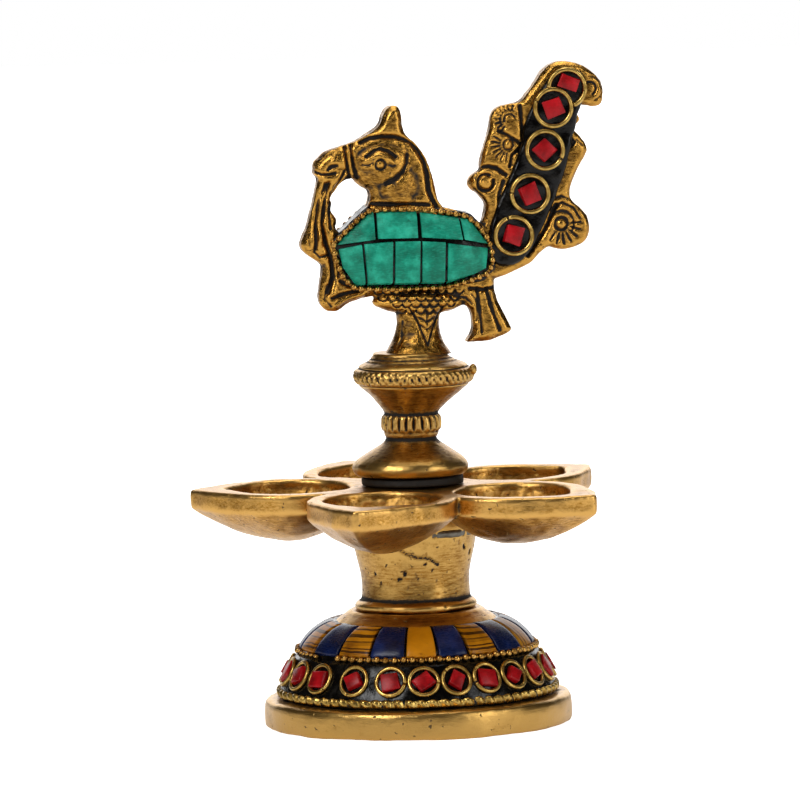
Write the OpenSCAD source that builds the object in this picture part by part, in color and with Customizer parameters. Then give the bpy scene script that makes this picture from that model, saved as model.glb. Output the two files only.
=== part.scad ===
// Brass standing oil lamp with five bowls and a stone-inlaid peacock finial.
// Millimetres, +Z up. The origin is the centre of the foot's rest face.
// Heights below are measured from base_h above the rest face, and raised() sets them there.
// The peacock faces -X, turned a little towards -Y, so its left side is the -Y side.

/* [Foot] */
// Outer radius of the foot rim
foot_r = 35.5; // [34.5:0.5:37]
// Depth of the foot rim below the level that heights are measured from
base_h = 1; // [0.5:0.1:1.5]
// Height of the foot rim above that level
rim_h = 5.6; // [5:0.1:5.6]
// Outer diameter of each wire ring on the foot
ring_d = 7.3; // [6:0.1:7.6]
// Size of each coral chip on the foot
foot_chip = 4.1; // [3:0.1:4.1]
// Diameter of the bead wire
bead_d = 1.6; // [1.2:0.1:1.8]

/* [Stem and lamp plate] */
// Height of the lamp plate's top face
plate_z = 54.4; // [52:0.1:56]
// Thickness of the plate between the bowls
plate_t = 5.4; // [4.5:0.1:6]
// Tilt of the plate down towards the front
plate_tilt = 1.2; // [0:0.1:1.4]
// Distance from the axis to the middle of a bowl
bowl_x = 28; // [27:0.5:29]
// Outer radius of a bowl
bowl_r = 17; // [16.5:0.1:17.5]
// Distance from the axis to the tip of a bowl's spout
tip_x = 51.4; // [49:0.1:53]
// Height of the straight band round the plate's edge
band_h = 4.3; // [3.5:0.1:4.5]
// Depth of a bowl outside, from the plate's top face
bowl_h = 12.3; // [11:0.1:13]
// Thickness of a bowl's wall
wall_t = 2.9; // [2.5:0.1:3.2]

/* [Finial] */
// Thickness of the washer under the finial
washer_h = 2.1; // [1.5:0.1:2.5]
// Radius of the washer
washer_r = 12; // [11:0.1:12.5]
// Radius of the finial's knob
knob_r = 14.1; // [13.5:0.1:15]
// Radius of the threaded stud under the finial
stud_r = 4; // [3:0.5:4]
// Length of the thread inside the stem, below the plate
stud_grip = 7; // [6:0.5:8]

/* [Peacock] */
// Turn of the peacock towards its left side
bird_yaw = 10; // [0:1:20]
// Lean of the peacock back towards its tail
bird_lean = 1.5; // [0:0.1:3]
// Thickness of the peacock's casting behind the lac
core_t = 5.2; // [4.6:0.1:5.6]
// Thickness of the casting at the head
head_t = 11; // [9:0.5:12]
// Outer diameter of each wire ring on the tail
tail_ring_d = 9.6; // [8.5:0.1:10]
// Size of each coral chip on the tail
tail_chip = 4.3; // [3.5:0.1:4.8]
// Thickness of the black lac on the tail
tail_lac_t = 0.8; // [0.6:0.1:1]

/* [Hidden] */
$fn = 64;
BRASS = "goldenrod";
PALE_BRASS = "khaki";
LAC = [0.08, 0.07, 0.06];
NAVY = [0.05, 0.08, 0.25];
AMBER = [0.78, 0.52, 0.06];
CORAL = [0.72, 0.06, 0.08];
TURQUOISE = [0.08, 0.58, 0.47];
SOLDER = "silver";

tiny = 0.01;
far = 60;
wire_w = 0.75;
wire_h = 0.7;
chip_h = 1.2;
finial_z = plate_z + washer_h;
pillar_z = finial_z + 28.5;
stem_z = 25.6;
stem_top = plate_z - plate_t;
// Directions of the five bowls, from +X.
bowl_turns = [180, 255, 324, 36, 108];
spigot_r = 9;
spigot_z = 21.6;
stud_clearance = 0.05;

// Profile of the dome's brass core and of the lac on it, as [radius, height].
core = [[30.6, rim_h], [26.4, 14.6], [17.4, 22]];
band_low = [31.9, 8.3];
band_high = [28.1, 15.5];
tile_low = [26.3, 17];
tile_high = [18.7, 22.8];
bead_centre = (band_high + tile_low) / 2 + [0.4, 0.45];
// Places of the wire rings round the foot, in degrees from -Y.
ring_places = concat([-64, -48, -29, -12, 2.5, 17, 31.5, 46.5, 61.5, 77], [for (i = [1:13]) 77 + i * 15.6]);
// Edges between the tiles round the dome, in degrees from -Y.
tile_seams = [-61, -42, -24, -6, 10, 26, 43, 62, 78, 96, 115,
              133, 151, 169, 187, 205, 224, 242, 261, 280, 299];
pairs = 10;

sides = ["left", "right"];
// Edges between the turquoise chips along the body, in the upper and the lower row.
upper_seams = [-20, -9.6, 0.5, 10.9, 20];
lower_seams = [-20, -12, -5.4, 0.8, 7.2, 20];
chip_ridge_z = 111.2;
chip_gap = 0.5;
// Rings up the tail, as [x, z, turn of its chip].
tail_rings = [[23, 111.7, -15], [26.8, 121.3, 22], [30.3, 131.4, 45], [32.2, 141.1, 24]];
top_ring = [35.4, 145.6];

// The point at the share s of the line from a to b, raised h off the line.
function over(a, b, s, h = 0) = a + (b - a) * s + h * [b[1] - a[1], a[0] - b[0]] / norm(b - a);

// ---- Foot ----

module foot_casting() {
    color(BRASS) rotate_extrude() polygon([
        [31.4, -base_h], [foot_r - 0.7, -base_h], [foot_r, -0.4], [foot_r, rim_h - 1], [foot_r - 1, rim_h],
        core[0], core[1], core[2], [17.4, 23.6], [15.4, stem_z], [spigot_r, stem_z],
        [spigot_r, spigot_z], [13.6, 20.4], [23.6, 12.2], [27.6, 4.4]]);
}

module foot_lac() {
    color(LAC) rotate_extrude() difference() {
        polygon([core[0], [band_low[0], rim_h], band_low, band_high, tile_low, tile_high,
            [17.4, 23.6], core[2], core[1]]);
        translate(bead_centre) circle(d = bead_d);
    }
}

// A strip of notched brass stands round the bottom of the lac.
module foot_strip_wire() {
    color(PALE_BRASS) rotate_extrude() translate([band_low[0], rim_h]) square([0.9, 2.7]);
}

module foot_bead_wire() {
    color(PALE_BRASS) rotate_extrude() translate(bead_centre) circle(d = bead_d);
}

// Puts its children at each ring's place on the lac, with +Z along the outward normal.
module on_band() {
    slope = atan2(band_high[1] - band_low[1], band_low[0] - band_high[0]);
    mid = over(band_low, band_high, 0.5);
    for (place = ring_places) rotate([0, 0, place - 90]) translate([mid[0], 0, mid[1]])
        rotate([0, slope, 0]) rotate([0, 0, place * 7]) children();
}

module foot_wire_rings() {
    color(PALE_BRASS) on_band() difference() {
        cylinder(d = ring_d, h = wire_h);
        translate([0, 0, -1]) cylinder(d = ring_d - 2 * wire_w, h = 3);
    }
}

module foot_coral_chips() {
    color(CORAL) on_band() translate([0, 0, chip_h / 2]) cube([foot_chip, foot_chip, chip_h], center = true);
}

// Tile k of the dome, domed a little, between two of its edges.
module tile(k) {
    seam = 0.6;
    from = tile_seams[k] + seam;
    to = tile_seams[k + 1] - seam;
    rotate([0, 0, from - 90]) rotate_extrude(angle = to - from)
        polygon([tile_low, tile_high, over(tile_low, tile_high, 0.98, 1), over(tile_low, tile_high, 0.75, 1.8),
            over(tile_low, tile_high, 0.5, 2.1), over(tile_low, tile_high, 0.25, 1.8),
            over(tile_low, tile_high, 0.02, 1)]);
}

// ---- Stem and lamp plate ----

module lower_stem() {
    color(BRASS) rotate_extrude() polygon([
        [6.5, spigot_z], [spigot_r, spigot_z], [spigot_r, stem_z], [13.6, stem_z], [14.1, 26.2],
        [14.1, 27.2], [13, 28.4], [12.4, 30], [12.4, 33], [13, 36], [13.9, 40], [14.6, 44],
        [14.6, stem_top], [stud_r + stud_clearance, stem_top], [stud_r + stud_clearance, 40.5], [6.5, 38]]);
}

// Solder run under the plate where it joins the stem.
module stem_solder() {
    color(SOLDER) rotate_extrude()
        polygon([[14.63, 44], [14.42, 42.7], [15.1, 43.4], [15.2, 44.2], [14.63, 45]]);
}

// Plan of a bowl, drawn to a point at its spout: radius r, wing radius w, blunt end e.
module bowl_plan(r, w, end_x, e) {
    hull() {
        translate([bowl_x, 0]) circle(r, $fn = 48);
        translate([bowl_x + 12, 0]) circle(w, $fn = 32);
        translate([end_x - e, 0]) circle(e, $fn = 16);
    }
}

// A stack of plans that shrink with depth makes a boat-shaped bowl: power 1 falls like a parabola
// and 2 like an ellipse.
module bowl_form(r, w, end_x, top_z, drop, power) {
    shares = [0, 0.15, 0.35, 0.6, 0.8, 0.93, 1];
    hull() {
        translate([0, 0, plate_z + tiny]) linear_extrude(tiny) bowl_plan(r, w, end_x, 1.4);
        for (s = shares) {
            k = max(sqrt(1 - pow(s, power)), 0.3);
            translate([bowl_x * (1 - k), 0, top_z - drop * s]) scale([k, k, 1])
                linear_extrude(tiny) bowl_plan(r, w, end_x, 1.4);
        }
    }
}

module lamp_plate() {
    color(BRASS) difference() {
        translate([0, 0, plate_z]) rotate([plate_tilt, 0, 0]) translate([0, 0, -plate_z]) difference() {
            intersection() {
                union() {
                    translate([0, 0, stem_top - 0.5]) cylinder(r = 19, h = plate_t + 0.5);
                    for (turn = bowl_turns) rotate([0, 0, turn])
                        bowl_form(bowl_r, 9.3, tip_x, plate_z - band_h, bowl_h - band_h, 1);
                }
                cylinder(r = far, h = plate_z);
            }
            for (turn = bowl_turns) rotate([0, 0, turn])
                bowl_form(bowl_r - 3.7, 3.2, tip_x - 8.6, plate_z - 1.2, bowl_h - wall_t - 1.2, 2);
        }
        // Level seats for the stem and for the washer.
        cylinder(r = 14.7, h = stem_top);
        translate([0, 0, plate_z]) cylinder(r = washer_r + 1.5, h = far);
        cylinder(r = stud_r + 0.4, h = far);
    }
}

// ---- Finial ----

module plate_washer() {
    color(LAC) translate([0, 0, plate_z]) difference() {
        cylinder(r = washer_r, h = washer_h);
        translate([0, 0, -1]) cylinder(r = stud_r + 0.35, h = washer_h + 2);
    }
}

module finial_stud() {
    color(PALE_BRASS) translate([0, 0, stem_top - stud_grip])
        cylinder(r = stud_r, h = finial_z + 6.5 - stem_top + stud_grip);
}

module finial_stem() {
    bore = [[0, 6.5], [stud_r, 6.5], [stud_r, 0]];
    foot = [[12.5, 0], [13.4, 1], [13.4, 2.6], [11.7, 4.6], [9.4, 6.1], [6.8, 7.4]];
    collar = [[5.7, 8.6], [6.4, 10], [6.9, 11.4], [6.9, 13], [6.4, 14.3]];
    knob = [[7.3, 15.8], [10, 18.6], [13, 21.3], [knob_r, 22.3], [knob_r, 23.9], [12.6, 25.4]];
    top = [[9.6, 26.8], [8.2, 28.5], [0, 28.5]];
    color(BRASS) translate([0, 0, finial_z]) rotate_extrude() polygon(concat(bore, foot, collar, knob, top));
}

// ---- Peacock ----

// The peacock's own frame: outlines are drawn in X and Z, with Y across its thickness.
module on_bird() {
    rotate([0, 0, bird_yaw]) translate([-1.4, 0, 0]) rotate([0, bird_lean, 0]) children();
}

// An outline in X and Z, t thick and centred on the peacock's middle plane.
module slab(t) {
    rotate([90, 0, 0]) linear_extrude(t, center = true) children();
}

module head_outline() {
    polygon([[-2.7, 136.6], [-3.2, 140.8], [-5.2, 142], [-7.4, 140.2], [-8.2, 136.7], [-13.6, 133.9],
        [-17, 132.4], [-20.6, 131], [-23, 128.6], [-23.4, 126.2], [-22.5, 124.8], [-19.6, 122.4],
        [-17, 124.6], [-13.6, 124.6], [-10.3, 122.6], [-9.9, 119.4], [-12.7, 116.5], [-10, 112],
        [10, 112], [8.4, 116.4], [5, 121], [4.4, 126], [2, 130.8], [-0.2, 134]]);
}

// The flower garland that hangs from the beak to the breast.
module garland_outline() {
    polygon([[-22.6, 126], [-23.3, 121], [-24, 116.5], [-26.6, 110.2], [-26, 108.8], [-21.4, 105.6],
        [-22.4, 98], [-21.5, 95.8], [-19, 94.4], [-16.6, 95], [-12.9, 97.2], [-9, 98.3], [-6, 97.6],
        [-2, 96], [-2, 106], [-12, 112], [-17.4, 112.8], [-19.3, 115.6], [-19.8, 120.2], [-17.4, 124],
        [-19, 127]]);
}

module body_outline() {
    polygon([[-19.4, 110], [-11, 119], [1, 119], [12.8, 117.2], [19.4, 110.6], [19.4, 103],
        [14, 100], [8, 99.2], [-11, 99.2], [-16, 101.6]]);
}

// The curled support under the body, and the feather fan that hangs behind it.
module under_outline() {
    polygon([[-5, 101], [-3.6, 94], [6.4, 94], [7.4, 95.8], [9.4, 96.2], [12.6, 95.4], [14, 93],
        [13.9, 89.5], [12.5, 87.2], [15, 87.2], [21.8, 88.8], [23.2, 90], [20.9, 94.6], [18.7, 98.4],
        [18.8, 104], [6, 104]]);
}

module tail_outline() {
    polygon([[15.4, 101], [19, 101.6], [27.2, 105], [31, 109.4], [35.8, 108.4], [40, 109.8], [41.3, 112.4],
        [41, 115.6], [36.6, 120.2], [36.8, 123.2], [40.6, 130.6], [40.3, 132.6], [37.4, 135.9],
        [39.2, 138], [37.8, 140.2], [39, 142], [41.5, 141], [43.9, 141.6], [44.3, 146.2], [41.9, 149.3],
        [38.6, 151.2], [34.8, 151.9], [32, 151.4], [30, 149.8], [27.3, 145.5], [24.6, 142.2],
        [19.3, 141.2], [17.8, 139.4], [17.5, 135.4], [15.7, 130.2], [15.7, 126.4], [13.1, 125.6],
        [12.6, 123.6], [15.9, 120.2], [17.4, 118], [15.6, 114]]);
}

// Lac under the tail's rings, as a band along their centres.
module tail_band() {
    polygon([[17.2, 107.4], [20.4, 105.4], [26.6, 107.4], [32.4, 118.6], [36.2, 130.4], [37.8, 139.4],
        [40.4, 144.4], [39.4, 149], [34.6, 150.4], [30.8, 147], [26.4, 139.6], [24.8, 132.6], [20.8, 122.6]]);
}

// The round pillar flares onto the knob below and into the belly above.
module pillar() {
    hull() {
        translate([1.2, 0, 84]) cylinder(r = 7.6, h = 1.4, $fn = 32);
        translate([1.2, 0, 91.4]) cylinder(r = 4.9, h = tiny, $fn = 32);
    }
    hull() {
        translate([1.2, 0, 91.4]) cylinder(r = 4.9, h = tiny, $fn = 32);
        translate([-4.5, -4.2, 99]) cube([13, 8.4, 2]);
    }
}

module peacock_casting() {
    color(BRASS) difference() {
        on_bird() {
            slab(head_t) head_outline();
            slab(6) garland_outline();
            slab(core_t) body_outline();
            slab(6) under_outline();
            slab(core_t) tail_outline();
            pillar();
        }
        cylinder(r = far, h = pillar_z);
        // The body's lac and stones sit on flat faces.
        on_bird() inlay_pocket();
    }
}

// Clears the sides of the body down to the core, where the head and the belly stand proud.
module inlay_pocket() {
    for (s = [-1, 1]) translate([0, s * (core_t / 2 + 10), 0]) slab(20) wire_plan();
}

// Plan of the inlay, and of the bead wire that runs round it.
module inlay_plan() {
    polygon([[-18.2, 110.1], [-10.2, 117.5], [0, 117.5], [12.4, 115.6], [17, 109.6], [16.4, 103.7],
        [7, 100.8], [-13.6, 100.6]]);
}

module wire_plan() {
    polygon([[-20.1, 110.3], [-10.8, 119], [0.2, 119], [13.2, 117], [18.6, 110.2], [17.9, 102.6],
        [7.2, 99.3], [-14.6, 99.1]]);
}

// Half of the body's padding, on the side s, grown by t: its widest line is the chips' ridge.
module half_body(s, t) {
    lift = s * (core_t / 2 + tiny);
    deep = s * (4.9 + t);
    hull() {
        translate([0, lift, 0]) slab(tiny) inlay_plan();
        for (p = [[-11.4, chip_ridge_z], [10.6, 110.4]]) translate([p[0], deep, p[1]])
            cube(tiny, center = true);
        for (p = [[-10.6, 101.2], [6.6, 101.4]])
            translate([p[0], deep * 0.9, p[1]]) cube(tiny, center = true);
        for (p = [[-9, 117], [10.8, 115.4]]) translate([p[0], deep * 0.68, p[1]]) cube(tiny, center = true);
    }
}

module body_lac() {
    color(LAC) on_bird() for (s = [-1, 1]) half_body(s, 0);
}

module body_bead_wires() {
    color(PALE_BRASS) on_bird() for (s = [-1, 1])
        translate([0, s * (core_t / 2 + bead_d / 2), 0]) slab(bead_d) difference() {
            wire_plan();
            inlay_plan();
        }
}

// One turquoise chip: a cell cut out of the stone layer over the lac.
module chip(side, seams, i, low_z, high_z) {
    s = side == "left" ? -1 : 1;
    color(TURQUOISE) on_bird() intersection() {
        difference() {
            half_body(s, 1.9);
            half_body(s, 0);
        }
        translate([seams[i - 1] + chip_gap / 2, s > 0 ? core_t / 2 : -far, low_z])
            cube([seams[i] - seams[i - 1] - chip_gap, far - core_t / 2, high_z - low_z]);
    }
}

module upper_chip(side, i) {
    chip(side, upper_seams, i, chip_ridge_z + chip_gap / 2, 120);
}

module lower_chip(side, i) {
    chip(side, lower_seams, i, 98, chip_ridge_z - chip_gap / 2);
}

module tail_lac() {
    color(LAC) on_bird() for (s = [-1, 1])
        translate([0, s * (core_t + tail_lac_t) / 2, 0]) slab(tail_lac_t) difference() {
            tail_band();
            wire_plan();
        }
}

module tail_wire_rings() {
    base = core_t / 2 + tail_lac_t;
    color(PALE_BRASS) on_bird() for (s = [-1, 1]) {
        for (ring = tail_rings) translate([0, s * (base + wire_h / 2), 0]) slab(wire_h) difference() {
            translate([ring[0], ring[1]]) ring_plan();
            offset(delta = 0.05) wire_plan();
        }
        // The topmost ring lies partly under the one below it.
        translate([0, s * (base + wire_h / 2), 0]) slab(wire_h) difference() {
            translate(top_ring) ring_plan();
            translate([tail_rings[3][0], tail_rings[3][1]]) circle(d = tail_ring_d + 0.3);
        }
    }
}

module ring_plan() {
    difference() {
        circle(d = tail_ring_d);
        circle(d = tail_ring_d - 2);
    }
}

module tail_coral_chips() {
    base = core_t / 2 + tail_lac_t;
    color(CORAL) on_bird() for (s = [-1, 1]) translate([0, s * (base + chip_h / 2), 0]) {
        for (ring = tail_rings) slab(chip_h) translate([ring[0], ring[1]]) rotate(ring[2])
            square(tail_chip, center = true);
        slab(chip_h) translate(top_ring + [0.4, 1.4]) rotate(-20) square([tail_chip, 2.6], center = true);
    }
}

// Sets a sub-part at its height over the rest face.
module raised() {
    translate([0, 0, base_h]) children();
}

raised() foot_casting();
raised() foot_lac();
raised() foot_strip_wire();
raised() foot_bead_wire();
raised() foot_wire_rings();
raised() foot_coral_chips();
for (i = [1:pairs]) {
    raised() color(NAVY) tile(2 * i - 2);
    raised() color(AMBER) tile(2 * i - 1);
}
raised() lower_stem();
raised() stem_solder();
raised() lamp_plate();
raised() plate_washer();
raised() finial_stud();
raised() finial_stem();
raised() peacock_casting();
raised() body_lac();
raised() body_bead_wires();
raised() tail_lac();
raised() tail_wire_rings();
raised() tail_coral_chips();
for (side = sides) {
    for (i = [1:4]) raised() upper_chip(side, i);
    for (i = [1:5]) raised() lower_chip(side, i);
}
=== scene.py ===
import math
import random

import bmesh
import bpy
import numpy as np
from mathutils import Matrix, Quaternion, Vector, noise


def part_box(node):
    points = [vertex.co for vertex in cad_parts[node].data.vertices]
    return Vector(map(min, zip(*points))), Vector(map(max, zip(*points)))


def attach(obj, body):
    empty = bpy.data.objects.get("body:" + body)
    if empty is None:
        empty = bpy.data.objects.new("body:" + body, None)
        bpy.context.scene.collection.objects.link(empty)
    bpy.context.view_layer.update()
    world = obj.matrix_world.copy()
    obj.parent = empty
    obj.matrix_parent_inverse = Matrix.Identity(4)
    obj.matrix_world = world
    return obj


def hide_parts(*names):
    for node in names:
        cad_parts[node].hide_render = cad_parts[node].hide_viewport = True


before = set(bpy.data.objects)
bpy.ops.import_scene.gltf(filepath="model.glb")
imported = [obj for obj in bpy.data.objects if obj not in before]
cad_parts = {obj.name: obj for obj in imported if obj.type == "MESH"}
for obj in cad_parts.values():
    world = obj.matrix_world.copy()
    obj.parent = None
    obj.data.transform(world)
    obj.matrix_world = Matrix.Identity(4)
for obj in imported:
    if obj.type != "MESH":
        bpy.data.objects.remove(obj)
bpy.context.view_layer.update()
scene = bpy.context.scene

# ---- Camera, floor and light ----
# The lamp stands on a wide white sheet. A long lens looks at it from a little above. A broad
# light hangs over the left front and a weaker one stands at the right. Two wide ones, above and
# behind, light the tops and the rims.

eye = Vector((-0.0024, -1.99, 0.2558))
aim = Vector((-0.0024, 0, 0.0748))
tilt = Quaternion((0, 0, 1), math.radians(-1.5))
camera = bpy.data.objects.new("camera", bpy.data.cameras.new("camera"))
camera.location = eye
camera.rotation_euler = ((aim - eye).to_track_quat("-Z", "Y") @ tilt).to_euler()
camera.data.lens = 390
camera.data.sensor_width = 36
scene.collection.objects.link(camera)
scene.camera = camera
scene.view_settings.view_transform = "Standard"


def linear(hex_colour):
    """An sRGB hex colour as the linear colour that a shader takes."""
    channels = [int(hex_colour[i:i + 2], 16) / 255 for i in (1, 3, 5)]
    return [c / 12.92 if c <= 0.04045 else ((c + 0.055) / 1.055) ** 2.4 for c in channels] + [1]


def add(material, kind, settings=None, inputs=None):
    """Adds one node: settings are its properties, inputs its sockets, each a value or another socket."""
    made = material.node_tree.nodes.new("ShaderNode" + kind)
    for name, value in (settings or {}).items():
        setattr(made, name, value)
    for name, value in (inputs or {}).items():
        if isinstance(value, bpy.types.NodeSocket):
            material.node_tree.links.new(value, made.inputs[name])
        else:
            made.inputs[name].default_value = value
    return made


def new_material(name):
    """An empty node material, ready for its nodes."""
    material = bpy.data.materials.new(name)
    material.use_nodes = True
    material.node_tree.nodes.clear()
    return material


def output(material, shader):
    add(material, "OutputMaterial", inputs={"Surface": shader})
    return material


def white_sheet():
    """Matt white paper, lit well enough to look pure white."""
    material = new_material("white_paper")
    seen = add(material, "LightPath")
    glow = add(material, "Math", {"operation": "MULTIPLY_ADD"}, {
        0: seen.outputs["Is Camera Ray"], 1: 0.7, 2: 0.3})
    paper = add(material, "BsdfPrincipled", inputs={
        "Base Color": linear("#F6F5F3"), "Roughness": 0.9,
        "Emission Color": linear("#FFFFFF"), "Emission Strength": glow.outputs["Value"]})
    return output(material, paper.outputs["BSDF"])


sheet_bm = bmesh.new()
bmesh.ops.create_grid(sheet_bm, x_segments=1, y_segments=1, size=3)
sheet_mesh = bpy.data.meshes.new("floor")
sheet_bm.to_mesh(sheet_mesh)
floor = bpy.data.objects.new("floor", sheet_mesh)
floor.data.materials.append(white_sheet())
scene.collection.objects.link(floor)


def soft_light(name, place, size, power, tint="#FFFFFF"):
    light = bpy.data.lights.new(name, "AREA")
    light.shape = "RECTANGLE"
    light.size, light.size_y = size
    light.energy = power
    light.color = linear(tint)[:3]
    lamp = bpy.data.objects.new(name, light)
    lamp.location = place
    lamp.rotation_euler = (Vector((0, 0, 0.08)) - Vector(place)).to_track_quat("-Z", "Y").to_euler()
    scene.collection.objects.link(lamp)


soft_light("key", (-0.75, -1.0, 0.95), (0.5, 0.7), 11)
soft_light("fill", (1.0, -0.7, 0.45), (0.35, 0.8), 4)
soft_light("top", (0.1, 0.2, 1.3), (0.9, 0.9), 9)
soft_light("back", (0, 2.5, 0.75), (3, 1.4), 24)
# The room is dim, apart from the white that the camera sees past the sheet.
world = bpy.data.worlds.new("studio")
world.use_nodes = True
world.node_tree.nodes.clear()
seen = add(world, "LightPath")
dim = add(world, "Background", inputs={"Color": linear("#6B665E"), "Strength": 0.32})
pale = add(world, "Background", inputs={"Color": linear("#FFFFFF"), "Strength": 1.0})
both = add(world, "MixShader", inputs={
    0: seen.outputs["Is Camera Ray"], 1: dim.outputs[0], 2: pale.outputs[0]})
add(world, "OutputWorld", inputs={"Surface": both.outputs[0]})
scene.world = world

# ---- Foot casting ----
# One hollow brass casting: a thick rim, a dome that carries the lac and a bare ring on top.
# The outside is filed and brushed round, then blacked and rubbed back. The hollow is raw.
# All pieces are drawn in millimetres, from a level base_h over the floor.

base_h = 1


def measured(node):
    """The low and high corners of a CAD node, in the millimetres that the pieces are drawn in."""
    return [corner * 1000 - Vector((0, 0, base_h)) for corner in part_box(node)]


def soften(points, times=2, closed=False):
    """Cuts the corners of an outline again and again, as a file would."""
    points = [Vector(p) for p in points]
    for _ in range(times):
        pairs = list(zip(points, points[1:] + points[:1])) if closed else list(zip(points, points[1:]))
        cut = []
        for a, b in pairs:
            cut += [a.lerp(b, 0.25), a.lerp(b, 0.75)]
        points = cut if closed else [points[0]] + cut[1:-1] + [points[-1]]
    return points


def divide(points, step, closed=False):
    """Puts more points on an outline, no further apart than step."""
    points = [Vector(p) for p in points]
    out = []
    for a, b in zip(points, points[1:] + points[:1]) if closed else zip(points, points[1:]):
        count = max(1, math.ceil((b - a).length / step))
        out += [a.lerp(b, k / count) for k in range(count)]
    return out if closed else out + [points[-1]]


def lathe(profile, steps, closed=False):
    """Turns a profile of (radius, height) points into a solid of revolution."""
    bm = bmesh.new()
    verts = [bm.verts.new((p[0], 0, p[1])) for p in profile]
    edges = [bm.edges.new(pair) for pair in zip(verts, verts[1:])]
    if closed:
        edges.append(bm.edges.new((verts[-1], verts[0])))
    bmesh.ops.spin(bm, geom=verts + edges, axis=(0, 0, 1), cent=(0, 0, 0), angle=2 * math.pi,
                   steps=steps, use_merge=True)
    bmesh.ops.remove_doubles(bm, verts=bm.verts, dist=1e-4)
    bmesh.ops.recalc_face_normals(bm, faces=bm.faces)
    return bm


def roughen(bm, amount, size, seed=0):
    """Moves each point a little along its normal, in lumps of about the given size."""
    bm.normal_update()
    shift = Vector((seed * 7.3, seed * 3.1, seed * 5.7))
    for v in bm.verts:
        v.co += v.normal * amount * noise.noise(v.co / size + shift)


def mark_hollows(mesh, rounds=24, reach=0.25):
    """Stores how far each point lies below its smoothed surroundings, where dirt and polish differ."""
    count = len(mesh.vertices)
    co = np.empty(count * 3)
    mesh.vertices.foreach_get("co", co)
    co = co.reshape(-1, 3)
    normal = np.empty(count * 3)
    mesh.vertices.foreach_get("normal", normal)
    normal = normal.reshape(-1, 3)
    ends = np.empty(len(mesh.edges) * 2, dtype=np.int64)
    mesh.edges.foreach_get("vertices", ends)
    a, b = ends.reshape(-1, 2).T
    share = np.maximum(np.bincount(a, minlength=count) + np.bincount(b, minlength=count), 1)
    smooth = co.copy()
    for _ in range(rounds):
        for axis in range(3):
            total = np.bincount(a, smooth[b, axis], count) + np.bincount(b, smooth[a, axis], count)
            smooth[:, axis] = 0.5 * smooth[:, axis] + 0.5 * total / share
    depth = ((smooth - co) * normal).sum(1) / (reach * 0.001)
    layer = mesh.attributes.new("hollow", "FLOAT", "POINT")
    layer.data.foreach_set("value", np.clip(depth, -1, 1).astype(np.float32))


def piece(name, bm, body, nodes, material, sharp=None, hollows=None):
    """Finishes a piece drawn in millimetres: sets it in place, shades it and ties it to the frame."""
    bmesh.ops.translate(bm, vec=(0, 0, base_h), verts=bm.verts)
    bmesh.ops.scale(bm, vec=(0.001, 0.001, 0.001), verts=bm.verts)
    mesh = bpy.data.meshes.new(name)
    bm.to_mesh(mesh)
    bm.free()
    mesh.shade_smooth()
    if sharp:
        mesh.set_sharp_from_angle(angle=math.radians(sharp))
    if hollows:
        mark_hollows(mesh, *hollows)
    mesh.materials.append(material)
    made = bpy.data.objects.new(name, mesh)
    scene.collection.objects.link(made)
    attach(made, body)
    if nodes:
        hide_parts(*nodes)
    return made


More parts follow.
